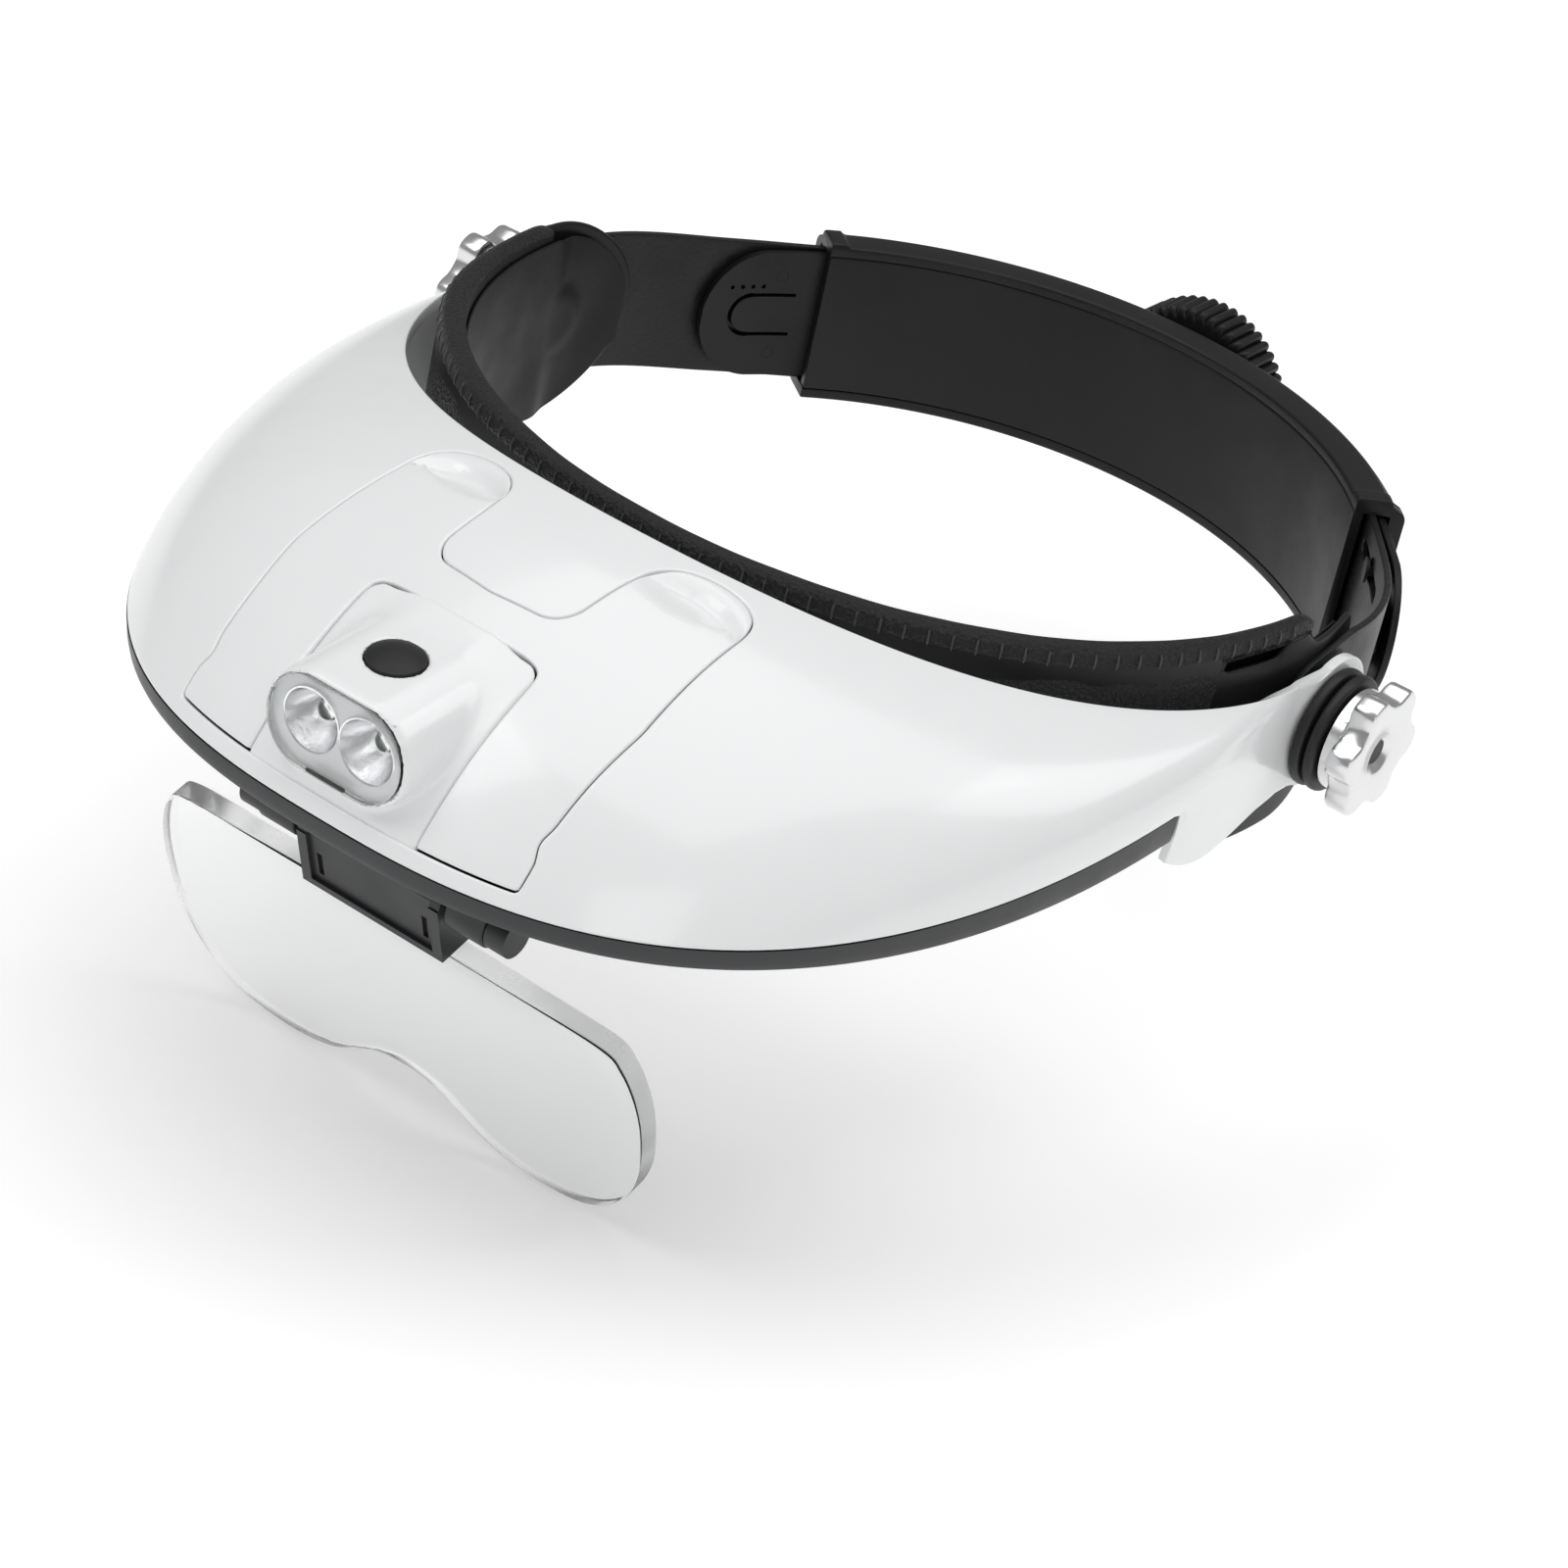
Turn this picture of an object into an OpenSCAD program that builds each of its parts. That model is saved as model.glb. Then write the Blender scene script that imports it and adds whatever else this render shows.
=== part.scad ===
// Head visor magnifier: a harness with a wheel at the back, a tilting visor with a two-LED
// lamp and battery bay, and a flip-up clip that holds an interchangeable spectacle lens plate.
// The origin is midway between the two temple pivots, whose axis is X; -Y is the front.

/* [Visor] */
// Half width of the visor's top edge at the temples
visor_half_w = 96.9; // [96.7:0.1:97.1]
// How far the lower rim reaches forward of the temples
visor_reach = 156; // [154:1:157]
// Wall of the visor skin at the front
skin_t = 2.4; // [2.2:0.1:2.4]
// Height of the dark strip below the white rim at the front
strip_h = 4.6; // [4:0.2:5]

/* [Lamp] */
// Radius of the lamp nose's rounded ends
nose_r = 9.8; // [9.4:0.2:10]
// Radius of the power button
button_r = 5.4; // [5:0.1:5.6]

/* [Lens] */
// Half width of the lens plate
lens_half_w = 57; // [55:0.5:58]
// Thickness of the lens plate
lens_t = 6; // [5:0.5:6]
// Lean of the lens plate, with its lower end towards the face
lens_lean = 20; // [16:1:22]

/* [Headband] */
// Inner radius of the rear housing
housing_r = 84.7; // [84.5:0.1:84.7]
// Half of the arc that the rear housing spans, in degrees
housing_half = 49.7; // [49:0.1:50.4]
// Height of the rear housing
housing_h = 36; // [35:0.5:37]
// Height of a side strap
strap_h = 31; // [30:0.5:31]

/* [Knobs] */
// Lobe radius of the metal star knobs
star_r = 13.2; // [12.8:0.2:13.6]
// Radius of the rear size knob
size_knob_r = 20.3; // [19:0.1:21]

/* [Hidden] */
$fn = 64;

white = [0.95, 0.95, 0.95];
black = [0.07, 0.07, 0.07];
grey = [0.2, 0.2, 0.21];
metal = [0.8, 0.8, 0.82];
clear = [0.85, 0.93, 0.95];

function smooth(v) = let (c = max(0, min(1, v))) c * c * (3 - 2 * c);
function signed_pow(v, p) = sign(v) * pow(abs(v), p);
function unit(v) = v / norm(v);

// ---- visor skin: a bulged sheet between a top edge and a lower edge, t = 0..180 left to right
skin_gap = 0.3;
wing_end = 7.4;        // the white wing takes the strip's place up to this angle
rim_start = 8.2;       // and the strip begins at this one
wing_x = 97.6;
eye_r = 13;
eye_x = [95.8, 97.8];
function edge(half_w, y0, reach, square, rise, t) = let (s = pow(sin(t), 2 / square))
    [-half_w * signed_pow(cos(t), 2 / square), y0 - reach * s,
     rise[0] + rise[1] * s + rise[2] * s * s + rise[3] * s * s * s];
function top_edge(t) = edge(visor_half_w, -12, 91, 1.94, [11.7, 8, -1.6, 12.7], t);
function rim_edge(t) = edge(99.6, -16.5, visor_reach, 2.64, [4.7, -20.6, 5.5, 3.7], t);
function wing_edge(k) = [-wing_x, -14 - 36 * k, -11.9 - 4.6 * sin(180 * pow(k, 1.3))];
function mirrored(p) = [-p[0], p[1], p[2]];
function lower_edge(t) = t < rim_start - 0.1 ? wing_edge(min(1, t / wing_end))
    : t > 180.1 - rim_start ? mirrored(wing_edge(min(1, (180 - t) / wing_end))) : rim_edge(t);
function bulge(t) = let (s = sin(t)) (18.9 + 3.6 * s * s) * 1.1 * s * sqrt(s) / (s + 0.1);
function bulge_dir(t) = unit([-cos(t), -0.7 * sin(t), 0.35 + 0.5 * sin(t)]);
function skin(t, w) = let (a = top_edge(t), c = lower_edge(t), b = (a + c) / 2 + bulge(t) * bulge_dir(t))
    (1 - w) * (1 - w) * a + 2 * w * (1 - w) * b + w * w * c;
function skin_normal(t, w) = let (d = 0.04, ta = t > 90 ? t - d : t, wa = w > 0.5 ? w - d : w)
    unit(cross(skin(ta, wa + d) - skin(ta, wa), skin(ta + d, wa) - skin(ta, wa)));
function inside(t, w, depth) = skin(t, w) - depth * skin_normal(t, w);
function wall(t) = 1.6 + (skin_t - 1.6) * smooth(sin(t) / 0.5);

// Loft through rings of equal length, with flat ends; turn is 1 where the rings advance clockwise
// seen from above, and -1 where they advance the other way
module loft(rings, turn = 1) {
    n = len(rings[0]);
    m = len(rings);
    points = [for (r = rings) each r];
    sides = [for (i = [0:m - 2], j = [0:n - 1]) let (a = i * n + j, b = i * n + (j + 1) % n)
        each [[a, b, a + n], [b, b + n, a + n]]];
    first = [for (j = [n - 1:-1:0]) j];
    last = [for (j = [0:n - 1]) (m - 1) * n + j];
    faces = concat(sides, [first, last]);
    polyhedron(points, turn > 0 ? faces
        : [for (f = faces) [for (k = [len(f) - 1:-1:0]) f[k]]], convexity = 8);
}

module skin_sheet(ts, ws) {
    loft([for (t = ts) concat(
        [for (w = ws) skin(t, w)],
        [for (i = [len(ws) - 1:-1:0]) inside(t, ws[i], wall(t))])], -1);
}
wing_ts = [0, 2, 4, 5.8, wing_end, rim_start, 10, 12.5];
skin_ts = concat(wing_ts, [for (t = [16:4:164]) t], [for (i = [len(wing_ts) - 1:-1:0]) 180 - wing_ts[i]]);
skin_ws = [for (w = [0:0.125:1]) w];
bay_ts = [for (t = [52:4:128]) t];

// ---- outlines of the cover and the lamp panel, seen from above
cover_half_w = 38;
panel_half_w = 18.8;
seam = 0.25;
function rim_inset(t, d) = let (p = rim_edge(t)) [p[0], p[1] + d];
module cover_outline() {
    polygon(concat(
        [[-15.5, -117], [-15, -129], [-12.5, -133], [0, -134.3], [12.5, -133], [15, -129],
         [15.5, -117], [16.5, -109.5], [20, -105], [26, -102.8], [32, -103], [36, -106],
         [37.6, -110], [cover_half_w, -122], [cover_half_w + 0.8, -139], [cover_half_w, -150]],
        [for (t = [112:-4:68]) rim_inset(t, 1.7)],
        [[-cover_half_w, -150], [-cover_half_w - 0.8, -139], [-cover_half_w, -122], [-37.6, -110],
         [-36, -106], [-32, -103], [-26, -102.8], [-20, -105], [-16.5, -109.5]]));
}
module panel_outline() {
    polygon([[-16, -141.8], [16, -141.8], [18, -142.6], [panel_half_w, -145],
        [panel_half_w, -171.5], [-panel_half_w, -171.5], [-panel_half_w, -145], [-18, -142.6]]);
}
module column(grow = 0) { translate([0, 0, -20]) linear_extrude(60) offset(delta = grow) children(); }

// ---- lamp nose: a stadium tube that points forward
nose_y = -172;
nose_z = 8.8;
nose_tilt = 6;
led_gap = 12.3;
module stadium(r) {
    translate([-led_gap / 2, 0]) circle(r);
    translate([led_gap / 2, 0]) circle(r);
    square([led_gap, 2 * r], center = true);
}
module nose_prism(r, y0, y1) {
    translate([0, nose_y, nose_z]) rotate([nose_tilt, 0, 0]) translate([0, y1 - nose_y, 0])
        rotate([90, 0, 0]) linear_extrude(y1 - y0) stadium(r);
}
button_y = -158.2;
button_z = nose_z + nose_r + sin(nose_tilt) * (button_y - nose_y);
module on_button(lift = 0) { translate([0, button_y, button_z]) rotate([nose_tilt, 0, 0])
    translate([0, 0, lift]) children(); }

// ---- hinge of the lens clip
hinge_y = -151.5;
hinge_z = -23.5;
barrel_r = 4.2;
pin_r = 1.6;
boss_x = [17.5, 26];
module at_hinge() { translate([0, hinge_y, hinge_z]) rotate([lens_lean, 0, 0]) children(); }
module along_x(r, x0, x1) { translate([x0, 0, 0]) rotate([0, 90, 0]) cylinder(r = r, h = x1 - x0); }

// ---- battery bay
cell_r = 5.15;
cell_len = 43.4;
cells = [[-116, 20.2], [-127, 17.8], [-137.6, 13.7]];

// ---- headband
band_half_w = 90;
band_y0 = -1.9;
band_front = 85.2;
band_square = 2.08;
band_top = 22.4;
band_slope = 0.038;
ring_y = 9.2;
housing_top = 11.2;
housing_mid = housing_top - housing_h / 2;
housing_t = 9.8;
strap_t = 1.4;
strap_pivot_x = 93.7;
rack_t = 1.6;
left_rack_r = 87.4;
right_rack_r = 90.0;
left_strap_r = 90.1;
right_strap_r = 88.6;
rack_end = 68.5;
rack_mid = -6.4;
rack_half = 14.4;
strap_start = 43.5;
pinion_r = 5;
tooth = PI;
rack_lift = 9;

// Point of the band at angle a, 0 at the left temple and 90 at the front, offset outwards by d
function band_xy(a) = let (k = 2 / band_square)
    a < 0 ? [-band_half_w * sqrt(1 - pow(sin(a) * 0.98, 2)), band_y0 - 72 * sin(a)]
    : a > 180 ? [band_half_w * sqrt(1 - pow(sin(a) * 0.98, 2)), band_y0 - 72 * sin(a)]
    : [-band_half_w * signed_pow(cos(a), k), band_y0 - band_front * pow(sin(a), k)];
function band_out(a) = let (d = 0.5, v = band_xy(a + d) - band_xy(a - d)) unit([v[1], -v[0]]);
function band_pt(a, d, z) = let (p = band_xy(a) + d * band_out(a)) [p[0], p[1], z];
function band_rim(a) = band_top - band_slope * band_xy(a)[1];
function pad_t(a) = 0.6 + 2 * smooth((sin(a) - 0.15) / 0.4);
band_t = 1.2;
leaf_c = [-3, 1];
leaf_r = 24.2;
function leaf_half(y) = y > leaf_c[0] ? sqrt(max(0.3, leaf_r * leaf_r - pow(y - leaf_c[0], 2))) : leaf_r;
function leaf_top(a) = let (y = band_xy(a)[1]) y > leaf_c[0] ? leaf_c[1] + 0.93 * leaf_half(y)
    : band_rim(a) - 0.8;
function leaf_low(a) = let (y = band_xy(a)[1]) y > leaf_c[0] ? leaf_c[1] - leaf_half(y)
    : leaf_c[1] - leaf_r + 22 * smooth((leaf_c[1] - 14 - y) / 55);

module arc_band(r0, r1, z0, z1, a0, a1) {
    translate([0, ring_y, z0]) rotate([0, 0, 90 - a1]) rotate_extrude(angle = a1 - a0, $fn = 180)
        translate([r0, 0]) square([r1 - r0, z1 - z0]);
}
// Puts children, drawn with X radial and Y along the arc, at angle b from the rear
module at_ring(b, r, z) { translate([0, ring_y, z]) rotate([0, 0, 90 - b]) translate([r, 0, 0]) children(); }

leaf_as = [-18.6, -18.2, -17.4, -16, -13.5, -10, -6, -2];
module front_band() color(black) difference() {
    loft([for (a = concat(leaf_as, [for (a = [0:6:180]) a], [for (i = [7:-1:0]) 180 - leaf_as[i]]))
        let (d = pad_t(a) + 0.15)
        [band_pt(a, d, leaf_top(a)), band_pt(a, d + band_t, leaf_top(a)),
         band_pt(a, d + band_t, leaf_low(a)), band_pt(a, d, leaf_low(a))]], -1);
    along_x(bolt_r + 0.15, -100, 100);
}

// Foam-backed leather: an inner pad, a roll over the top and a short outer skirt
skirt_h = 22;
pad_h = 30;
function skirt(a) = 1.2 + skirt_h * smooth((min(a, 180 - a) - 14) / 12);
module sweatband() color(black) loft([for (a = [2:4:178])
    let (z = band_rim(a), p = pad_t(a), d = p + band_t + 0.3)
    [band_pt(a, 0, z), band_pt(a, 0.6, z + 0.7), band_pt(a, d + 0.5, z + 0.7),
     band_pt(a, d + 1, z), band_pt(a, d + 1, z - skirt(a)), band_pt(a, d, z - skirt(a)),
     band_pt(a, d, z - 0.5), band_pt(a, p, z - 0.5), band_pt(a, p, z - pad_h), band_pt(a, 0, z - pad_h)]],
    -1);

function strap_r(b, r) = r + (strap_pivot_x + 0.08 - r) * smooth((b - 74.5) / 14);
function strap_mid(b) = housing_mid + 6.4 * smooth((b - 50) / 46);
function strap_pt(b, r, z) = [r * sin(b), ring_y + r * cos(b), z];
module strap_body(r) {
    loft([for (b = [strap_start:3.5:92.5]) let (rr = strap_r(b, r), m = strap_mid(b),
            h = strap_h / 2 * (b > 88 ? 0.96 : 1))
        [strap_pt(b, rr - strap_t / 2, m + h), strap_pt(b, rr + strap_t / 2, m + h),
         strap_pt(b, rr + strap_t / 2, m - h), strap_pt(b, rr - strap_t / 2, m - h)]]);
}
// Right-hand strap: a curved strip, a round eye at the pivot and a slot for the rack's rivets
module strap(r, slot_b) difference() {
    union() {
        strap_body(r);
        translate([strap_pivot_x - strap_t / 2, 0, 0]) rotate([0, 90, 0]) {
            cylinder(r = 12.5, h = strap_t);
            translate([-strap_h / 2 + 1.2, 0, 0]) cube([strap_h - 2.4, 7.6, strap_t]);
        }
    }
    along_x(bolt_r + 0.15, strap_pivot_x - 4, strap_pivot_x + 4);
    for (z = [rack_mid - rack_lift, rack_mid + rack_lift])
        arc_band(r - 2, r + 2, z - 1.75, z + 1.75, slot_b - 7.6, slot_b + 7.6);
}
rivet_b = 57;
module right_strap() color(black) strap(right_strap_r, rivet_b);
module left_strap() color(black) mirror([1, 0, 0]) strap(left_strap_r, rivet_b);

module housing_inner() color(black) difference() {
    arc_band(housing_r, housing_r + 2.1, housing_top - housing_h + 2.3, housing_top - 2.3,
        -housing_half, housing_half);
    screws(1.1, 2.1, 12);
}
screw_bs = [-24, 24];
module screws(r, head_r, len) for (b = screw_bs, z = [housing_mid - 13.2, housing_mid + 13.2])
    at_ring(b, housing_r - (r > 1 ? 2 : 0), z) rotate([0, 90, 0]) {
        cylinder(r = r, h = len);
        cylinder(r = head_r, h = r > 1 ? 3 : 0.85);
    }
module housing_outer() color(black) difference() {
    union() {
        arc_band(housing_r, housing_r + housing_t, housing_top - housing_h, housing_top,
            -housing_half, housing_half);
        for (s = [-1, 1]) arc_band(housing_r + housing_t - 0.6, housing_r + housing_t + 1.1,
            housing_top - housing_h + 3, housing_top + 1.2,
            s * (housing_half - 1) - 1, s * (housing_half - 1) + 1);
        at_ring(0, housing_r + housing_t - 0.5, housing_mid) rotate([0, 90, 0])
            cylinder(r = 9, h = 1.6);
    }
    arc_band(housing_r - 1, housing_r + 2.2, housing_top - housing_h + 2.2, housing_top - 2.2,
        -housing_half - 1, housing_half + 1);
    arc_band(housing_r + 2.1, housing_r + housing_t - 2.1, housing_top - housing_h + 2.2,
        housing_top - 2.2, -housing_half - 1, housing_half + 1);
    at_ring(0, housing_r, housing_mid) rotate([0, 90, 0]) cylinder(r = shaft_r + 0.05, h = 16);
    screws(1.05, 1.05, 10.4);
}
module housing_screws() color(metal) screws(0.95, 1.95, 8.3);

// One rack: an arc strip with a round outer end and a toothed window at the pinion
module rack(r, sgn) {
    tooth_z = housing_mid + sgn * pinion_r;
    step = tooth / (r + rack_t / 2) * 180 / PI;
    difference() {
        union() {
            arc_band(r, r + rack_t, rack_mid - rack_half, rack_mid + rack_half, 42, 59);
            arc_band(r, r + rack_t, housing_mid - 10.8, housing_mid + 10.8, -22, 42.5);
            intersection() {
                arc_band(r, r + rack_t, rack_mid - rack_half, rack_mid + rack_half, 55, rack_end);
                at_ring(rack_end - 9.4, r - 3, rack_mid) rotate([0, 90, 0]) cylinder(r = rack_half + 0.05, h = 8);
            }
        }
        arc_band(r - 1, r + rack_t + 1, housing_mid + (sgn > 0 ? -7.4 : 1 - pinion_r),
            housing_mid + (sgn > 0 ? pinion_r - 1 : 7.4), -17, 17);
        for (i = [-8:8]) at_ring(i * step, r - 1, tooth_z) rotate([0, 90, 0])
            rotate([0, 0, sgn > 0 ? 180 : 0]) linear_extrude(rack_t + 2)
                polygon([[-1.4, -1.15], [1.15, -0.62], [1.15, 0.62], [-1.4, 1.15]]);
        for (z = [rack_mid - rack_lift, rack_mid + rack_lift])
            at_ring(rivet_b, r - 1, z) rotate([0, 90, 0]) cylinder(r = 1.25, h = rack_t + 2);
        // spring latch outlined by a U-shaped slot, and a row of size marks above it
        arc_band(r - 1, r + rack_t + 1, rack_mid + 4.2, rack_mid + 5, 54.5, 61);
        arc_band(r - 1, r + rack_t + 1, rack_mid - 5, rack_mid - 4.2, 54.5, 61);
        at_ring(61, r - 1, rack_mid) rotate([0, 90, 0]) linear_extrude(rack_t + 2) intersection() {
            difference() { circle(5.12); circle(4.08); }
            translate([-6, -6]) square([12, 6.1]);
        }
        for (b = [59.6:1.6:64.6])
            at_ring(b, r - 1, rack_mid + 6.6) rotate([0, 90, 0]) cylinder(r = 0.5, h = rack_t + 2);
    }
}
module right_rack() color(black) rack(right_rack_r, -1);
module left_rack() color(black) mirror([1, 0, 0]) rack(left_rack_r, 1);
module rivets(r, r0, r1) for (z = [rack_mid - rack_lift, rack_mid + rack_lift])
    at_ring(rivet_b, r0, z) rotate([0, 90, 0]) {
        cylinder(r = 1.2, h = r1 - r0);
        translate([0, 0, r > r0 + 1 ? 0 : r1 - r0 - 0.6]) cylinder(r = 2.6, h = 0.6);
    }
module right_rivets() color(metal)
    rivets(right_rack_r, right_strap_r - strap_t / 2 - 0.9, right_rack_r + rack_t);
module left_rivets() color(metal) mirror([1, 0, 0])
    rivets(left_rack_r - 2, left_rack_r, left_strap_r + strap_t / 2 + 0.9);

// ---- size knob on the rear, turning about Y
shaft_r = 3;
knob_y = ring_y + housing_r + housing_t + 1.4;
knob_h = 11;
module at_knob(y) { translate([0, y, housing_mid]) rotate([-90, 0, 0]) children(); }
module size_knob() color(black) difference() {
    at_knob(knob_y) {
        cylinder(r = size_knob_r - 0.7, h = knob_h);
        for (i = [0:47]) rotate([0, 0, i * 7.5]) translate([size_knob_r - 0.9, 0, 0])
            cylinder(r = 0.75, h = knob_h - 1.2, $fn = 16);
    }
    at_knob(knob_y - 1) cylinder(r = 9.4, h = 3.4);
    at_knob(knob_y) cylinder(r = 1.6, h = knob_h + 1);
    at_knob(knob_y) cylinder(r = shaft_r + 0.05, h = 7.1);
    at_knob(knob_y + knob_h - 3) cylinder(r = 4.2, h = 4);
}
module pinion() color(white) difference() {
    union() {
        at_knob(ring_y + housing_r + 2.4) cylinder(r = pinion_r - 1.15, h = 4.8);
        at_knob(ring_y + housing_r + 2.4) linear_extrude(4.8) for (i = [0:9]) rotate(i * 36 + 18)
            polygon([[3, -0.95], [pinion_r + 0.75, -0.35], [pinion_r + 0.75, 0.35], [3, 0.95]]);
        at_knob(ring_y + housing_r + 7) cylinder(r = shaft_r, h = knob_y - ring_y - housing_r);
    }
    at_knob(ring_y + housing_r) cylinder(r = 1.15, h = 30);
}
module knob_spring() color(metal) at_knob(knob_y + 0.4) difference() {
    cylinder(r = 8.6, h = 0.6);
    cylinder(r = 3.6, h = 2, center = true);
}
module knob_screw() color(metal) difference() {
    union() {
        at_knob(ring_y + housing_r + 4) cylinder(r = 1.1, h = knob_y + 4.3 - ring_y - housing_r);
        at_knob(knob_y + knob_h - 2.9) cylinder(r = 3.2, h = 1.9);
    }
    at_knob(knob_y + knob_h - 1.8) {
        cube([4, 0.8, 2], center = true);
        cube([0.8, 4, 2], center = true);
    }
}

// ---- temple pivots
bolt_r = 2.5;
star_x = [103.3, 112];
module both_sides() { children(); mirror([1, 0, 0]) children(); }
module pivot_bolts() color(metal) both_sides() {
    along_x(4.6, 89.5, 90.25);
    along_x(bolt_r, 90, 110);
}
module ring_x(r, hole, x0, x1) difference() {
    along_x(r, x0, x1);
    along_x(hole, x0 - 1, x1 + 1);
}
module strap_washers() color(black) both_sides() for (x = [92.05, 94.6])
    ring_x(10, bolt_r + 0.15, x, x + 0.8);
module friction_washers() {
    ring_x(12, bolt_r + 0.15, 98.05, 100.4);
    ring_x(9.6, bolt_r + 0.15, 100.3, 101.1);
    ring_x(11.8, bolt_r + 0.15, 101, 103.1);
}
module right_friction_washers() color(black) friction_washers();
module left_friction_washers() color(black) mirror([1, 0, 0]) friction_washers();
star_lobes = 6;
module star_knob() difference() {
    union() {
        along_x(10.2, star_x[0], star_x[1] - 5.4);
        translate([star_x[1] - 6, 0, 0]) rotate([0, 90, 0]) linear_extrude(6) difference() {
            circle(star_r);
            for (i = [0:star_lobes - 1]) rotate(i * 360 / star_lobes + 4)
                translate([star_r + 4.6, 0]) circle(7);
        }
    }
    along_x(bolt_r + 0.05, star_x[0] - 1, star_x[1] + 1);
    along_x(4.1, star_x[1] - 1.6, star_x[1] + 1);
}
module right_star_knob() color(metal) star_knob();
module left_star_knob() color(metal) mirror([1, 0, 0]) star_knob();

// ---- visor
module visor_shell() color(white) {
    difference() {
        union() {
            skin_sheet(skin_ts, skin_ws);
            both_sides() translate([eye_x[0], 0, 0]) rotate([90, 0, 90]) linear_extrude(eye_x[1] - eye_x[0]) {
                circle(eye_r);
                polygon([[-15, 12.4], [-15, -12.2], [-4, -12.4], [0, -eye_r], [0, eye_r]]);
            }
        }
        column() cover_outline();
        both_sides() along_x(bolt_r + 0.07, 90, 102);
        at_screws(0) cylinder(r = 1.3, h = 1.3);
    }
}

bay_depth = 15;
function bay(t, w) = bay_depth * smooth((min(t, 180 - t) - 57) / 13) * smooth(w / 0.06) * smooth((1 - w) / 0.14);
function lining_start(t) = 0.03 + 0.77 * pow(max(0, (42 - min(t, 180 - t)) / 32), 1.5);
function strip_drop(t) = strip_h + 2.4 * pow(abs(cos(t)), 6);
lining_t = 1.8;
function tray_ring(t, n) = let (rim = rim_edge(t), inward = unit([-rim[0], 100 - rim[1] - 60, 0]),
        w0 = lining_start(t), ws = [for (i = [0:n]) 1 - (1 - w0) * i / n],
        d = wall(t) + skin_gap)
    concat([rim - [0, 0, 0.25], rim + 0.8 * inward - [0, 0, strip_drop(t)],
            rim + 3 * inward - [0, 0, strip_drop(t)]],
        [for (w = ws) inside(t, w, d + bay(t, w) + lining_t)],
        [for (i = [n:-1:0]) inside(t, ws[i], d + bay(t, ws[i]))]);
tray_ts = [for (t = skin_ts) if (t > rim_start - 0.1 && t < 180.1 - rim_start) t];
module visor_tray() color(grey) difference() {
    union() {
        loft([for (t = tray_ts) tray_ring(t, 14)], -1);
        both_sides() {
            translate([0, hinge_y, hinge_z]) along_x(barrel_r, boss_x[0], boss_x[1]);
            translate([boss_x[0], hinge_y - 3.6, hinge_z]) cube([boss_x[1] - boss_x[0], 7.2, 15.5]);
        }
    }
    translate([0, hinge_y, hinge_z]) along_x(pin_r + 0.05, -40, 40);
    at_screws(lining_t + 1) cylinder(r = 1.3, h = lining_t + 2);
}
tray_screw_ts = [[34, 0.62], [50, 0.16], [130, 0.16], [146, 0.62]];
// Puts children at each tray screw, with Z along the skin's outward normal and 0 in the gap
module at_screws(drop) for (q = tray_screw_ts) {
    n = skin_normal(q[0], q[1]);
    translate(inside(q[0], q[1], wall(q[0]) + skin_gap + drop))
        rotate([0, acos(n[2]), atan2(n[1], n[0])]) children();
}
module tray_screws() color(metal) at_screws(0) {
    translate([0, 0, -lining_t - 2.1]) cylinder(r = 2.4, h = 1.5);
    translate([0, 0, -lining_t - 0.7]) cylinder(r = 1.15, h = lining_t + 1.8);
}

module front_cover() color(white) difference() {
    intersection() {
        skin_sheet(bay_ts, skin_ws);
        column(-seam) cover_outline();
    }
    column(seam) panel_outline();
    both_sides() translate([26, -109, 46.2]) sphere(r = 18);
}

module lamp_housing() color(white) difference() {
    union() {
        intersection() {
            skin_sheet(bay_ts, skin_ws);
            column() panel_outline();
            column(-seam) cover_outline();
        }
        difference() {
            nose_prism(nose_r, nose_y, -141.5);
            translate([-30, 0, 0]) rotate([90, 0, 90]) linear_extrude(60)
                polygon([[-140, 20.8], [-142.5, 19.8], [-147, 17.6], [-152, 14.2], [-158, 9.4],
                    [-163, 4.2], [-167.2, -1.8], [-167.2, -20], [-140, -20]]);
        }
    }
    nose_prism(nose_r - 1.6, nose_y - 2, -146);
    translate([0, nose_y - 10, 0]) cube([60, 20, 60], center = true);
    on_button(-4) cylinder(r = button_r + 0.2, h = 8);
}
module lamp_window() color(clear) {
    translate([0, nose_y + 1.2, nose_z]) rotate([90, 0, 0]) linear_extrude(2) stadium(nose_r - 1.8);
}
module reflector(x) translate([x, nose_y + 1.6, nose_z]) rotate([-90, 0, 0]) rotate_extrude()
    polygon([[5.9, 0], [5.9, 0.8], [3.2, 8.5], [2.6, 8.5], [2.6, 7.7], [5.2, 0]]);
module left_reflector() color(metal) reflector(-led_gap / 2);
module right_reflector() color(metal) reflector(led_gap / 2);
led_y = nose_y + 8.4;
module led(x) translate([x, led_y, nose_z]) rotate([-90, 0, 0]) {
    translate([0, 0, -1.5]) cylinder(r = 2.4, h = 5.1);
    translate([0, 0, -1.5]) sphere(r = 2.4);
}
module left_led() color(clear) led(-led_gap / 2);
module right_led() color(clear) led(led_gap / 2);
board_y = led_y + 3.7;
module circuit_board() color("darkgreen") translate([-13, board_y, nose_z - 6]) cube([26, 1.6, 11]);
module button_switch() color(grey) {
    translate([-3, board_y + 1.7, nose_z - 0.4]) cube([6, 4.4, 5.8]);
    on_button(-6) cylinder(r = 1.6, h = 1.2);
}
module power_button() color(black) {
    on_button(-1.9) cylinder(r = button_r, h = 2.4);
    on_button(-3.9) cylinder(r = 3.4, h = 2.1);
    on_button() intersection() {
        translate([0, 0, 0.4]) cylinder(r = button_r, h = 1);
        translate([0, 0, -18.2]) sphere(r = 19.4);
    }
}

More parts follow.
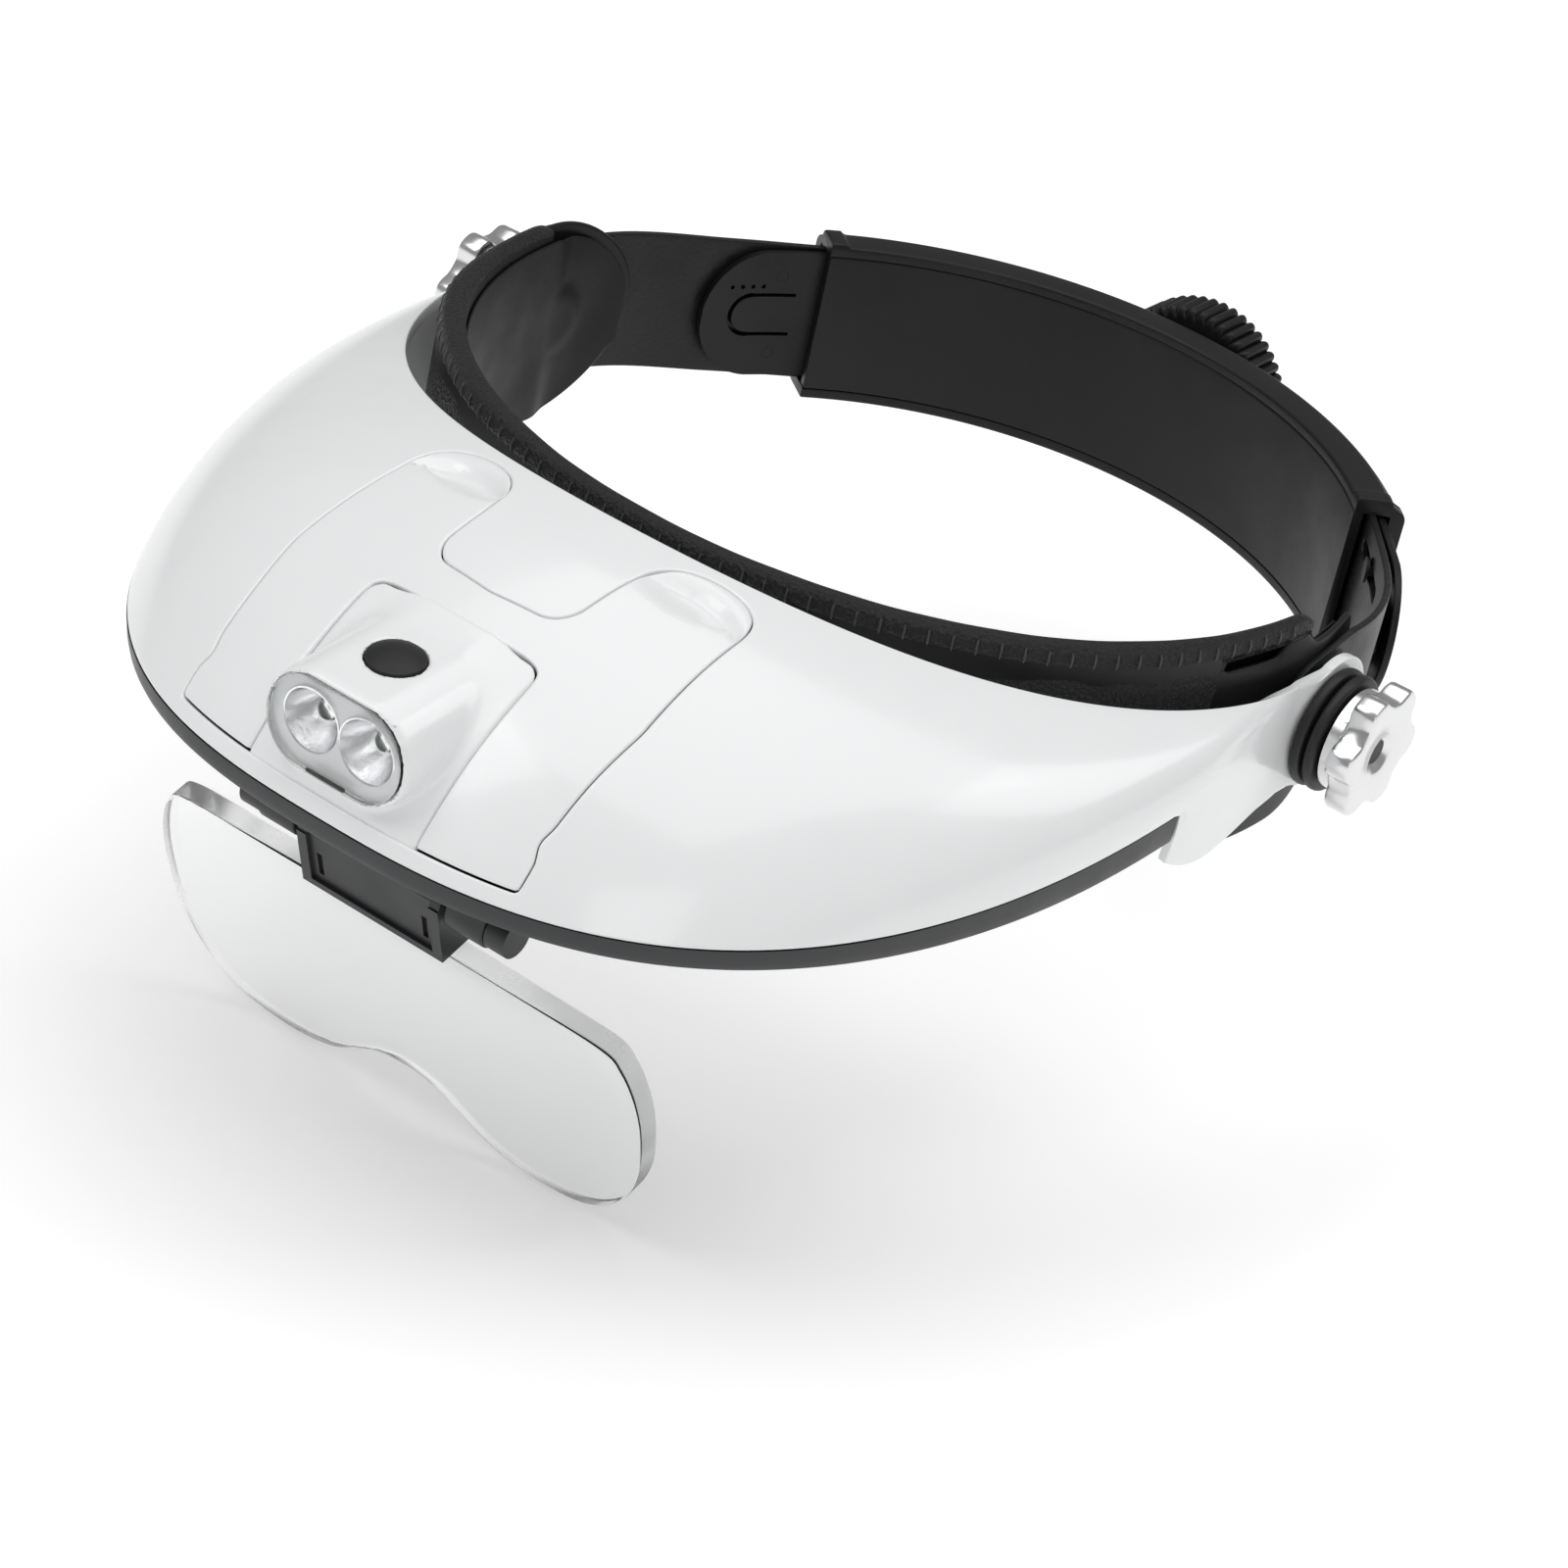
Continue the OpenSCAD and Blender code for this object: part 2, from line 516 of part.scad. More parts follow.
module battery_tray() color(black) difference() {
    translate([-25.4, 0, 0]) rotate([90, 0, 90]) linear_extrude(50.8)
        polygon([[-110.2, 20.4], [-110.2, 16], [-116, 13.6], [-127, 11.4], [-138, 7.6],
            [-144.6, 8.2], [-144.6, 14]]);
    for (c = cells) translate([0, c[0], c[1]]) along_x(cell_r + 0.15, -23.6, 23.6);
}
module cell(c, flip) translate([0, c[0], c[1]]) mirror([flip, 0, 0]) {
    along_x(cell_r, -cell_len / 2, cell_len / 2 - 1);
    along_x(1.9, cell_len / 2 - 1, cell_len / 2);
}
module battery_1() color("teal") cell(cells[0], 0);
module battery_2() color("teal") cell(cells[1], 1);
module battery_3() color("teal") cell(cells[2], 0);
module battery_contacts() color(metal) for (c = cells, s = [-1, 1])
    translate([s * 23.3 - 0.2, c[0] - 3.5, c[1] - 3.5]) cube([0.4, 7, 7]);
module contact_springs() color(metal) for (i = [0:2]) let (s = i == 1 ? 1 : -1)
    for (k = [0:1]) translate([s * (22.1 + k * 0.66), cells[i][0], cells[i][1]]) rotate([0, 90, 0])
        rotate_extrude() translate([2.6, 0]) circle(r = 0.33, $fn = 16);

module hinge_pin() color(grey) translate([0, hinge_y, hinge_z]) {
    along_x(pin_r, -26.2, 26.2);
    along_x(3.8, 26.2, 30.6);
    along_x(3.8, -30.6, -26.2);
}

// ---- lens clip and lens plate, drawn upright about the hinge axis and leant back
clip_half_w = 16.4;
clip_y = [-4.45, 3.1];
clip_low = -12;
tab_half_w = 12.5;
tab_y = [-2.1, 1.1];
tab_top = -4.6;
module clip_block(w, y0, y1, z0, z1) { translate([-w, y0, z0]) cube([2 * w, y1 - y0, z1 - z0]); }
module lens_clip() color(grey) at_hinge() difference() {
    union() {
        clip_block(clip_half_w, clip_y[0], clip_y[1], clip_low, 1);
        along_x(barrel_r, -clip_half_w, clip_half_w);
    }
    along_x(pin_r + 0.06, -40, 40);
    clip_block(tab_half_w + 0.2, tab_y[0] - 0.15, tab_y[1] + 0.15, clip_low - 1, tab_top + 0.3);
    clip_block(7.2, tab_y[1] + 0.1, tab_y[1] + 1, clip_low - 1, tab_top + 0.3);
    clip_block(clip_half_w - 2.2, clip_y[0] - 1, clip_y[0] + 0.8, clip_low + 1.5, 2);
    for (x = [-12.2, 12.2]) translate([x - 0.6, clip_y[0] - 1, -8.8]) cube([1.2, 2.6, 5.4]);
}
module clip_spring() color(metal) at_hinge()
    translate([-7, tab_y[1] + 0.3, tab_top - 5.6]) cube([14, 0.5, 5.6]);
lens_top = -14.5;
lens_low = -66;
module lens_outline() {
    polygon([[-lens_half_w + 8, lens_top - 0.8], [-14, lens_top], [14, lens_top],
        [lens_half_w - 8, lens_top - 0.8], [lens_half_w - 3.5, lens_top - 4],
        [lens_half_w - 0.8, lens_top - 11], [lens_half_w, lens_top - 20],
        [lens_half_w - 1.5, lens_top - 32], [lens_half_w - 6.5, lens_top - 42.5],
        [lens_half_w - 15, lens_top - 49.5], [30, lens_low], [20, lens_low + 1.6],
        [12.5, lens_low + 6], [7, lens_low + 9.2], [0, lens_low + 10.4], [-7, lens_low + 9.2],
        [-12.5, lens_low + 6], [-20, lens_low + 1.6], [-30, lens_low],
        [15 - lens_half_w, lens_top - 49.5], [6.5 - lens_half_w, lens_top - 42.5],
        [1.5 - lens_half_w, lens_top - 32], [-lens_half_w, lens_top - 20],
        [0.8 - lens_half_w, lens_top - 11], [3.5 - lens_half_w, lens_top - 4]]);
}
module lens_plate() color(clear) at_hinge() {
    translate([0, -2.4 + lens_t, 0]) rotate([90, 0, 0]) linear_extrude(lens_t) lens_outline();
    clip_block(tab_half_w, tab_y[0], tab_y[1], lens_top - 1, tab_top);
}

front_band();
sweatband();
left_strap();
right_strap();
housing_inner();
housing_outer();
housing_screws();
pivot_bolts();
strap_washers();
left_friction_washers();
right_friction_washers();
left_star_knob();
right_star_knob();
left_rack();
right_rack();
left_rivets();
right_rivets();
size_knob();
pinion();
knob_spring();
knob_screw();
visor_shell();
visor_tray();
tray_screws();
front_cover();
lamp_housing();
lamp_window();
left_reflector();
right_reflector();
left_led();
right_led();
circuit_board();
button_switch();
power_button();
battery_tray();
battery_1();
battery_2();
battery_3();
battery_contacts();
contact_springs();
hinge_pin();
lens_clip();
clip_spring();
lens_plate();
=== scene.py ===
import math
import bpy
import numpy as np
from mathutils import Matrix, Vector
from mathutils.geometry import delaunay_2d_cdt


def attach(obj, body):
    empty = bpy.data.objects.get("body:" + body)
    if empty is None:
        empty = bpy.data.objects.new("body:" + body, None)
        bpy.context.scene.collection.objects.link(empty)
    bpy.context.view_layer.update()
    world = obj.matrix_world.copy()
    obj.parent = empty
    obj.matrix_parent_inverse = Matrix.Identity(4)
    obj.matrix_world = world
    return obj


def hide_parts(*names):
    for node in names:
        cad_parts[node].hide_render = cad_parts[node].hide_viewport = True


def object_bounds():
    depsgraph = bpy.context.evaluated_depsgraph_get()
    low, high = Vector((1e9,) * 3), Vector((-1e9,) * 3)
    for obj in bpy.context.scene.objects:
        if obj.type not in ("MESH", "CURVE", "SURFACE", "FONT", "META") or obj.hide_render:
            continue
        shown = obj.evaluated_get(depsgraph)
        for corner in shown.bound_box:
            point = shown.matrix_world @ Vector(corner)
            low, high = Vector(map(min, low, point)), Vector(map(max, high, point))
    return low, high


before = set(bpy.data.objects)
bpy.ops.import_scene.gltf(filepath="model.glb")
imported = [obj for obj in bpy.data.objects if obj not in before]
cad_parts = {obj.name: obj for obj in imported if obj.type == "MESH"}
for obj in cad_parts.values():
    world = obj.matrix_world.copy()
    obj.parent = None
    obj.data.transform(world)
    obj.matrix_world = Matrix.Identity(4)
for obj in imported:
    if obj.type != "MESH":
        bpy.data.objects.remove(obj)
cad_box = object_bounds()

MM = 0.001
PI = math.pi


# ---------------------------------------------------------------- camera
AZIMUTH, ELEVATION, ROLL = 30.157, 30.571, 12.853        # degrees
CAMERA_AT = (-23.573, -54.523, 934.421)                  # mm along the view's right, up and back
FOCAL_PX, IMAGE_PX, SENSOR_MM = 4870.4, 1600, 36


def place_camera():
    az, el, roll = (math.radians(v) for v in (AZIMUTH, ELEVATION, ROLL))
    back = Vector((math.sin(az) * math.cos(el), -math.cos(az) * math.cos(el), math.sin(el)))
    level = Vector((math.cos(az), math.sin(az), 0))
    rise = back.cross(level)
    right = math.cos(roll) * level + math.sin(roll) * rise
    up = math.cos(roll) * rise - math.sin(roll) * level
    at = (CAMERA_AT[0] * right + CAMERA_AT[1] * up + CAMERA_AT[2] * back) * MM
    cam = bpy.data.objects.new("camera", bpy.data.cameras.new("camera"))
    bpy.context.scene.collection.objects.link(cam)
    cam.matrix_world = Matrix((
        (right.x, up.x, back.x, at.x), (right.y, up.y, back.y, at.y),
        (right.z, up.z, back.z, at.z), (0, 0, 0, 1)))
    cam.data.sensor_width = SENSOR_MM
    cam.data.lens = FOCAL_PX / IMAGE_PX * SENSOR_MM
    cam.data.clip_end = 20
    bpy.context.scene.camera = cam


place_camera()


# ---------------------------------------------------------------- materials
class Nodes:
    """A material's node tree, with one Principled shader."""
    def __init__(self, name):
        self.mat = bpy.data.materials.new(name)
        self.mat.use_nodes = True
        self.tree = self.mat.node_tree
        self.bsdf = self.tree.nodes["Principled BSDF"]
        self.coord = self.add("ShaderNodeTexCoord").outputs["Object"]

    def add(self, kind, **values):
        node = self.tree.nodes.new(kind)
        for key, value in values.items():
            if hasattr(node, key):
                setattr(node, key, value)
            else:
                node.inputs[key].default_value = value
        return node

    def link(self, a, b):
        self.tree.links.new(a, b)

    def noise(self, scale, detail=3.0, rough=0.55, stretch=None):
        node = self.add("ShaderNodeTexNoise", Scale=scale, Detail=detail, Roughness=rough)
        source = self.coord
        if stretch:
            mapping = self.add("ShaderNodeMapping")
            mapping.inputs["Scale"].default_value = stretch
            self.link(source, mapping.inputs["Vector"])
            source = mapping.outputs["Vector"]
        self.link(source, node.inputs["Vector"])
        return node.outputs["Fac"]

    def cells(self, scale, smooth=0.4):
        node = self.add("ShaderNodeTexVoronoi", Scale=scale, feature="SMOOTH_F1")
        node.inputs["Smoothness"].default_value = smooth
        warp = self.add("ShaderNodeVectorMath", operation="MULTIPLY_ADD")
        noise = self.add("ShaderNodeTexNoise", Scale=scale * 0.7, Detail=2.0)
        self.link(self.coord, noise.inputs["Vector"])
        self.link(noise.outputs["Color"], warp.inputs[0])
        warp.inputs[1].default_value = (0.6 / scale,) * 3
        self.link(self.coord, warp.inputs[2])
        self.link(warp.outputs["Vector"], node.inputs["Vector"])
        return node.outputs["Distance"]

    def remap(self, source, low, high, frm=(0.3, 0.7)):
        node = self.add("ShaderNodeMapRange")
        node.inputs["From Min"].default_value, node.inputs["From Max"].default_value = frm
        node.inputs["To Min"].default_value, node.inputs["To Max"].default_value = low, high
        self.link(source, node.inputs["Value"])
        return node.outputs["Result"]

    def blend(self, factor, a, b):
        node = self.add("ShaderNodeMix", data_type="RGBA")
        self.link(factor, node.inputs["Factor"])
        node.inputs["A"].default_value = (*a, 1)
        node.inputs["B"].default_value = (*b, 1)
        return node.outputs["Result"]

    def bump(self, layers):
        last = None
        for source, strength, distance in layers:
            node = self.add("ShaderNodeBump", Strength=strength, Distance=distance)
            self.link(source, node.inputs["Height"])
            if last:
                self.link(last, node.inputs["Normal"])
            last = node.outputs["Normal"]
        self.link(last, self.bsdf.inputs["Normal"])


def material(name, dark, light, rough, tint_scale=45, rough_scale=90, grain=(), **shader):
    """A moulded or metal surface: colour and roughness vary a little, and grain lists bump layers
    (scale, strength, distance in metres), with a fourth entry for cells in place of noise."""
    n = Nodes(name)
    n.link(n.blend(n.noise(tint_scale), dark, light), n.bsdf.inputs["Base Color"])
    n.link(n.remap(n.noise(rough_scale, 4), rough[0], rough[1]), n.bsdf.inputs["Roughness"])
    if grain:
        n.bump([(n.cells(scale) if kind else n.noise(scale, 4, 0.6), strength, distance)
                for scale, strength, distance, *kind in grain])
    for key, value in shader.items():
        n.bsdf.inputs[key.replace("_", " ")].default_value = value
    return n.mat


white = material("white_gloss", (0.85, 0.86, 0.865), (0.88, 0.885, 0.89), (0.18, 0.27), grain=[
    (260, 0.05, 0.0001)], Coat_Weight=0.35, Coat_Roughness=0.07, IOR=1.5)
tray_grey = material("tray_dark", (0.018, 0.019, 0.021), (0.028, 0.029, 0.031), (0.38, 0.5), grain=[
    (1500, 0.10, 0.0001)], Specular_IOR_Level=0.45)
black = material("black_satin", (0.006, 0.006, 0.007), (0.010, 0.010, 0.011), (0.36, 0.48), grain=[
    (1600, 0.10, 0.0001)], Specular_IOR_Level=0.27)
strap_black = material("strap_grain", (0.006, 0.006, 0.007), (0.011, 0.011, 0.012), (0.36, 0.5), grain=[
    (1050, 0.28, 0.0002, "cells"), (3000, 0.08, 0.0001)], Specular_IOR_Level=0.3)
rubber = material("rubber", (0.010, 0.010, 0.011), (0.016, 0.016, 0.017), (0.4, 0.52), grain=[
    (900, 0.08, 0.0001)], Specular_IOR_Level=0.35)
lining = material("lining_cloth", (0.005, 0.005, 0.006), (0.009, 0.009, 0.010), (0.42, 0.52), grain=[
    (60, 0.12, 0.0008), (2600, 0.15, 0.0001, "cells")], Specular_IOR_Level=0.22)
silver = material("polished_silver", (0.70, 0.70, 0.71), (0.78, 0.78, 0.785), (0.18, 0.28), grain=[
    (350, 0.04, 0.0001)], Metallic=1.0)
steel = material("steel", (0.5, 0.5, 0.5), (0.6, 0.6, 0.6), (0.25, 0.4), grain=[
    (900, 0.06, 0.0001)], Metallic=1.0)
chrome = material("reflector_chrome", (0.88, 0.88, 0.89), (0.93, 0.93, 0.94), (0.14, 0.26), grain=[
    (1400, 0.35, 0.0002)], Metallic=1.0)
nylon = material("nylon", (0.7, 0.69, 0.64), (0.76, 0.75, 0.7), (0.4, 0.5), grain=[
    (700, 0.06, 0.0001)])
laminate = material("laminate", (0.01, 0.09, 0.035), (0.016, 0.12, 0.045), (0.3, 0.42), grain=[
    (1200, 0.1, 0.0001)])
cell_wrap = material("cell_wrap", (0.02, 0.11, 0.13), (0.03, 0.15, 0.17), (0.2, 0.3), grain=[
    (500, 0.05, 0.0001)])


def leather_material():
    n = Nodes("leatherette")
    cells = n.cells(1250, 0.2)
    n.link(n.blend(n.noise(60), (0.006, 0.006, 0.007), (0.012, 0.012, 0.013)), n.bsdf.inputs["Base Color"])
    n.link(n.remap(cells, 0.34, 0.56, (0.0, 0.7)), n.bsdf.inputs["Roughness"])
    n.bump([(n.noise(170, 3), 0.16, 0.0012), (n.noise(1000, 4, 0.7, (1, 1, 0.45)), 0.9, 0.0011),
            (cells, 0.7, 0.0006), (n.noise(4200, 2), 0.1, 0.0001)])
    n.bsdf.inputs["Specular IOR Level"].default_value = 0.42
    return n.mat


def thread_material():
    n = Nodes("thread")
    twist_relief_and_shade = n.add("ShaderNodeTexWave", Scale=900.0, Distortion=1.5)
    n.link(n.coord, twist_relief_and_shade.inputs["Vector"])
    # The colour follows the twist's ridges, as the bump does: painted highlight on each ridge and painted shade in
    # the grooves between them.
    n.link(n.blend(twist_relief_and_shade.outputs["Fac"], (0.035, 0.035, 0.037), (0.075, 0.075, 0.078)), n.bsdf.inputs["Base Color"])
    n.link(n.remap(n.noise(900), 0.45, 0.6), n.bsdf.inputs["Roughness"])
    n.bump([(twist_relief_and_shade.outputs["Fac"], 0.3, 0.0001)])
    return n.mat


def clear_material(name, tint, rough, ior=1.47):
    n = Nodes(name)
    n.link(n.blend(n.noise(30), tint, (1, 1, 1)), n.bsdf.inputs["Base Color"])
    n.link(n.remap(n.noise(60), *rough), n.bsdf.inputs["Roughness"])
    n.bump([(n.noise(45, 2), 0.03, 0.0004)])
    n.bsdf.inputs["Transmission Weight"].default_value = 1.0
    n.bsdf.inputs["IOR"].default_value = ior
    return n.mat


leather = leather_material()
thread = thread_material()
acrylic = clear_material("clear_acrylic", (0.99, 1.0, 1.0), (0.0, 0.03), 1.25)
lens_edge = clear_material("lens_edge", (0.98, 0.99, 0.99), (0.22, 0.45), 1.18)
window_clear = clear_material("lamp_window_clear", (0.97, 0.985, 0.985), (0.03, 0.07), 1.2)
led_clear = clear_material("led_epoxy", (0.9, 0.93, 0.86), (0.05, 0.1))


# ---------------------------------------------------------------- mesh helpers (millimetres in)
def make(name, points, faces, body, mat, slot, swap=True, sharp=35):
    """A piece from a mesh. With swap it takes the place of the CAD node that its slot is named after."""
    mesh = bpy.data.meshes.new(name)
    mesh.from_pydata((np.asarray(points, float) * MM).tolist(), [], [list(map(int, f)) for f in faces])
    mesh.validate()
    mesh.update()
    obj = bpy.data.objects.new(name, mesh)
    bpy.context.scene.collection.objects.link(obj)
    for poly in mesh.polygons:
        poly.use_smooth = True
    mesh.set_sharp_from_angle(angle=math.radians(sharp))
    mesh.materials.append(mat)
    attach(obj, body)
    if swap:
        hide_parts(slot)
    return obj


def grid_faces(rows, cols, wrap_rows=False):
    """Quads over rows of points; each row is closed, and the rows join up with wrap_rows."""
    faces = []
    for i in range(rows if wrap_rows else rows - 1):
        for j in range(cols):
            after, below = (j + 1) % cols, (i + 1) % rows * cols
            faces.append([i * cols + j, i * cols + after, below + after, below + j])
    return faces


def rings_mesh(rings):
    """Points and faces for a tube through rings, closed at both ends."""
    rings = np.asarray(rings, float)
    m, n = rings.shape[:2]
    ends = [list(range(n))[::-1], [(m - 1) * n + j for j in range(n)]]
    return rings.reshape(-1, 3), grid_faces(m, n) + ends


def merge(parts):
    points, faces, start = [], [], 0
    for p, f in parts:
        points.append(np.asarray(p, float))
        faces += [[i + start for i in face] for face in f]
        start += len(p)
    return np.vstack(points), faces


def oriented(points, faces):
    """The same mesh with its faces turned outwards, by signed volume."""
    p = np.asarray(points, float)
    volume = sum(np.dot(p[f[0]], np.cross(p[f[k]], p[f[k + 1]])) for f in faces for k in range(1, len(f) - 1))
    return (points, faces) if volume > 0 else (points, [f[::-1] for f in faces])


def round_rect(w, h, r):
    """Outline of a rounded rectangle, anticlockwise, centred on 0."""
    x, y = w / 2 - r, h / 2 - r
    corners = ((x, y, 0), (-x, y, 90), (-x, -y, 180), (x, -y, 270))
    return np.vstack([arc(cx, cy, r, start + 90 * np.arange(6) / 5) for cx, cy, start in corners])


def profile_round(points, radii, n=4):
    """A closed 2-D outline with each corner rounded to its radius."""
    points = [np.array(p, float) for p in points]
    radii, out = np.broadcast_to(radii, len(points)), []
    for i, p in enumerate(points):
        r = radii[i]
        a, b = points[i - 1] - p, points[(i + 1) % len(points)] - p
        la, lb = np.linalg.norm(a), np.linalg.norm(b)
        if r <= 0:
            out.append(p)
            continue
        d = min(r, la * 0.48, lb * 0.48)
        p0, p1 = p + a / la * d, p + b / lb * d
        for k in range(n + 1):
            t = k / n
            out.append((1 - t) ** 2 * p0 + 2 * t * (1 - t) * p + t * t * p1)
    return np.array(out)


def revolve(steps, ring):
    """A mesh closed both ways; ring(a) gives the profile's points at the turn a."""
    rings = np.array([ring(2 * PI * k / steps) for k in range(steps)])
    return oriented(rings.reshape(-1, 3), grid_faces(*rings.shape[:2], wrap_rows=True))


def spin(profile, axis_point, axis, steps=64):
    """Solid of revolution from (radius, height) pairs, closed where the radius is 0."""
    axis = np.array(axis, float) / np.linalg.norm(axis)
    side = np.cross(axis, [0.3, 0.8, 0.52])
    side /= np.linalg.norm(side)
    other = np.cross(axis, side)

    def ring(a):
        radial = math.cos(a) * side + math.sin(a) * other
        return [np.array(axis_point) + r * radial + h * axis for r, h in profile]
    return revolve(steps, ring)


def catmull(points, spacing):
    """A smooth closed curve through the points, resampled at even spacing."""
    p = np.asarray(points, float)
    fine = []
    for i in range(len(p)):
        q = [p[(i + k) % len(p)] for k in (-1, 0, 1, 2)]
        for t in np.linspace(0, 1, 24, endpoint=False):
            fine.append(0.5 * ((2 * q[1]) + (q[2] - q[0]) * t + (2 * q[0] - 5 * q[1] + 4 * q[2] - q[3]) * t ** 2
                               + (3 * q[1] - q[0] - 3 * q[2] + q[3]) * t ** 3))
    return resample(np.array(fine), spacing)


def lengths(path):
    """Distance along a path at each of its points."""
    return np.concatenate([[0], np.cumsum(np.linalg.norm(np.diff(path, axis=0), axis=1))])


def arc(cx, cy, r, degrees):
    a = np.radians(degrees)
    return np.stack([cx + r * np.cos(a), cy + r * np.sin(a)], 1)


def circle(cx, cy, r, n=28):
    return arc(cx, cy, r, np.arange(0, 360, 360 / n))


def loop_normals(loop):
    side = np.roll(loop, -1, axis=0) - np.roll(loop, 1, axis=0)
    return np.stack([-side[:, 1], side[:, 0]], 1) / np.linalg.norm(side, axis=1)[:, None]


def resample(p, spacing, closed=True):
    q = np.vstack([p, p[:1]]) if closed else p
    along = lengths(q)
    count = max(4, int(round(along[-1] / spacing)))
    s = np.arange(count) * along[-1] / count if closed else np.linspace(0, along[-1], count)
    return np.stack([np.interp(s, along, q[:, k]) for k in range(q.shape[1])], 1)


def inside(loops, q):
    """Which points lie inside the loops, by the even-odd rule."""
    q = np.asarray(q, float)
    hit = np.zeros(len(q), bool)
    for loop in loops:
        for (x0, y0), (x1, y1) in zip(loop, np.roll(loop, -1, axis=0)):
            if y0 != y1:
                hit ^= ((q[:, 1] < y0) != (q[:, 1] < y1)) & (q[:, 0] < x0 + (q[:, 1] - y0) * (x1 - x0) / (y1 - y0))
    return hit


def edge_distance(loops, q):
    q = np.asarray(q, float)
    best = np.full(len(q), 1e9)
    for loop in loops:
        for p0, p1 in zip(loop, np.roll(loop, -1, axis=0)):
            d = p1 - p0
            if d @ d > 1e-12:
                t = np.clip(((q - p0) @ d) / (d @ d), 0, 1)
                best = np.minimum(best, np.linalg.norm(q - p0 - t[:, None] * d, axis=1))
    return best


def cut_sheet(loops, surface, thickness, spacing, fillet, under=0.12, extra=(), dent=None):
    """A closed sheet whose outline (first loop) and holes follow the loops, drawn on a surface.

    loops are 2-D; surface gives 3-D points and outward normals; the top edge is rounded by fillet."""
    steps = [fillet * f for f in (0.12, 0.35, 0.7, 1.15)] + [fillet + spacing * 0.45]
    points = [np.vstack(loops)]
    for loop in loops:
        for d in steps:
            for sign in (1, -1):
                q = loop + sign * d * loop_normals(loop)
                q = q[inside(loops, q)]
                if len(q):
                    points.append(q[edge_distance(loops, q) > d * 0.93])
    low, high = points[0].min(0), points[0].max(0)
    gx, gy = np.arange(low[0], high[0], spacing), np.arange(low[1], high[1], spacing * 0.866)
    grid = np.array([(x + (j % 2) * spacing / 2, y) for j, y in enumerate(gy) for x in gx])
    if len(extra):
        grid = np.vstack([grid, extra])
    grid = grid[inside(loops, grid)]
    grid = grid[edge_distance(loops, grid) > steps[-1] + spacing * 0.35]
    points.append(grid)
    q = np.vstack(points)
    edges, start = [], 0
    for loop in loops:
        n = len(loop)
        edges += [(start + i, start + (i + 1) % n) for i in range(n)]
        start += n
    verts, _, tris, *_ = delaunay_2d_cdt([Vector(v) for v in q], edges, [], 0, 1e-5)
    q = np.array([tuple(v) for v in verts])
    tris = np.array(tris)
    tris = tris[inside(loops, q[tris].mean(1))]
    a, b, c = q[tris[:, 0]], q[tris[:, 1]], q[tris[:, 2]]
    area = (b[:, 0] - a[:, 0]) * (c[:, 1] - a[:, 1]) - (b[:, 1] - a[:, 1]) * (c[:, 0] - a[:, 0])
    tris = tris[np.abs(area) > 1e-7]
    p, normal = surface(q)
    if dent is not None:
        p = p - normal * dent(p)[:, None]
    away = edge_distance(loops, q)

    def dropped(r):
        return np.where(away < r, r - np.sqrt(np.maximum(0, r * r - (r - np.minimum(away, r)) ** 2)), 0)
    wall = thickness(q) if callable(thickness) else np.full(len(q), float(thickness))
    top = p - normal * dropped(fillet)[:, None]
    bottom = p - normal * (wall - dropped(under))[:, None]
    tri_normal = np.cross(top[tris[:, 1]] - top[tris[:, 0]], top[tris[:, 2]] - top[tris[:, 0]])
    if (tri_normal * normal[tris[:, 0]]).sum() < 0:
        tris = tris[:, ::-1]
    used = dict.fromkeys((int(t[k]), int(t[(k + 1) % 3])) for t in tris for k in range(3))
    n = len(q)
    rim = [e for e in used if (e[1], e[0]) not in used]
    faces = tris.tolist() + (tris[:, ::-1] + n).tolist() + [[b, a, a + n, b + n] for a, b in rim]
    return np.vstack([top, bottom]), faces


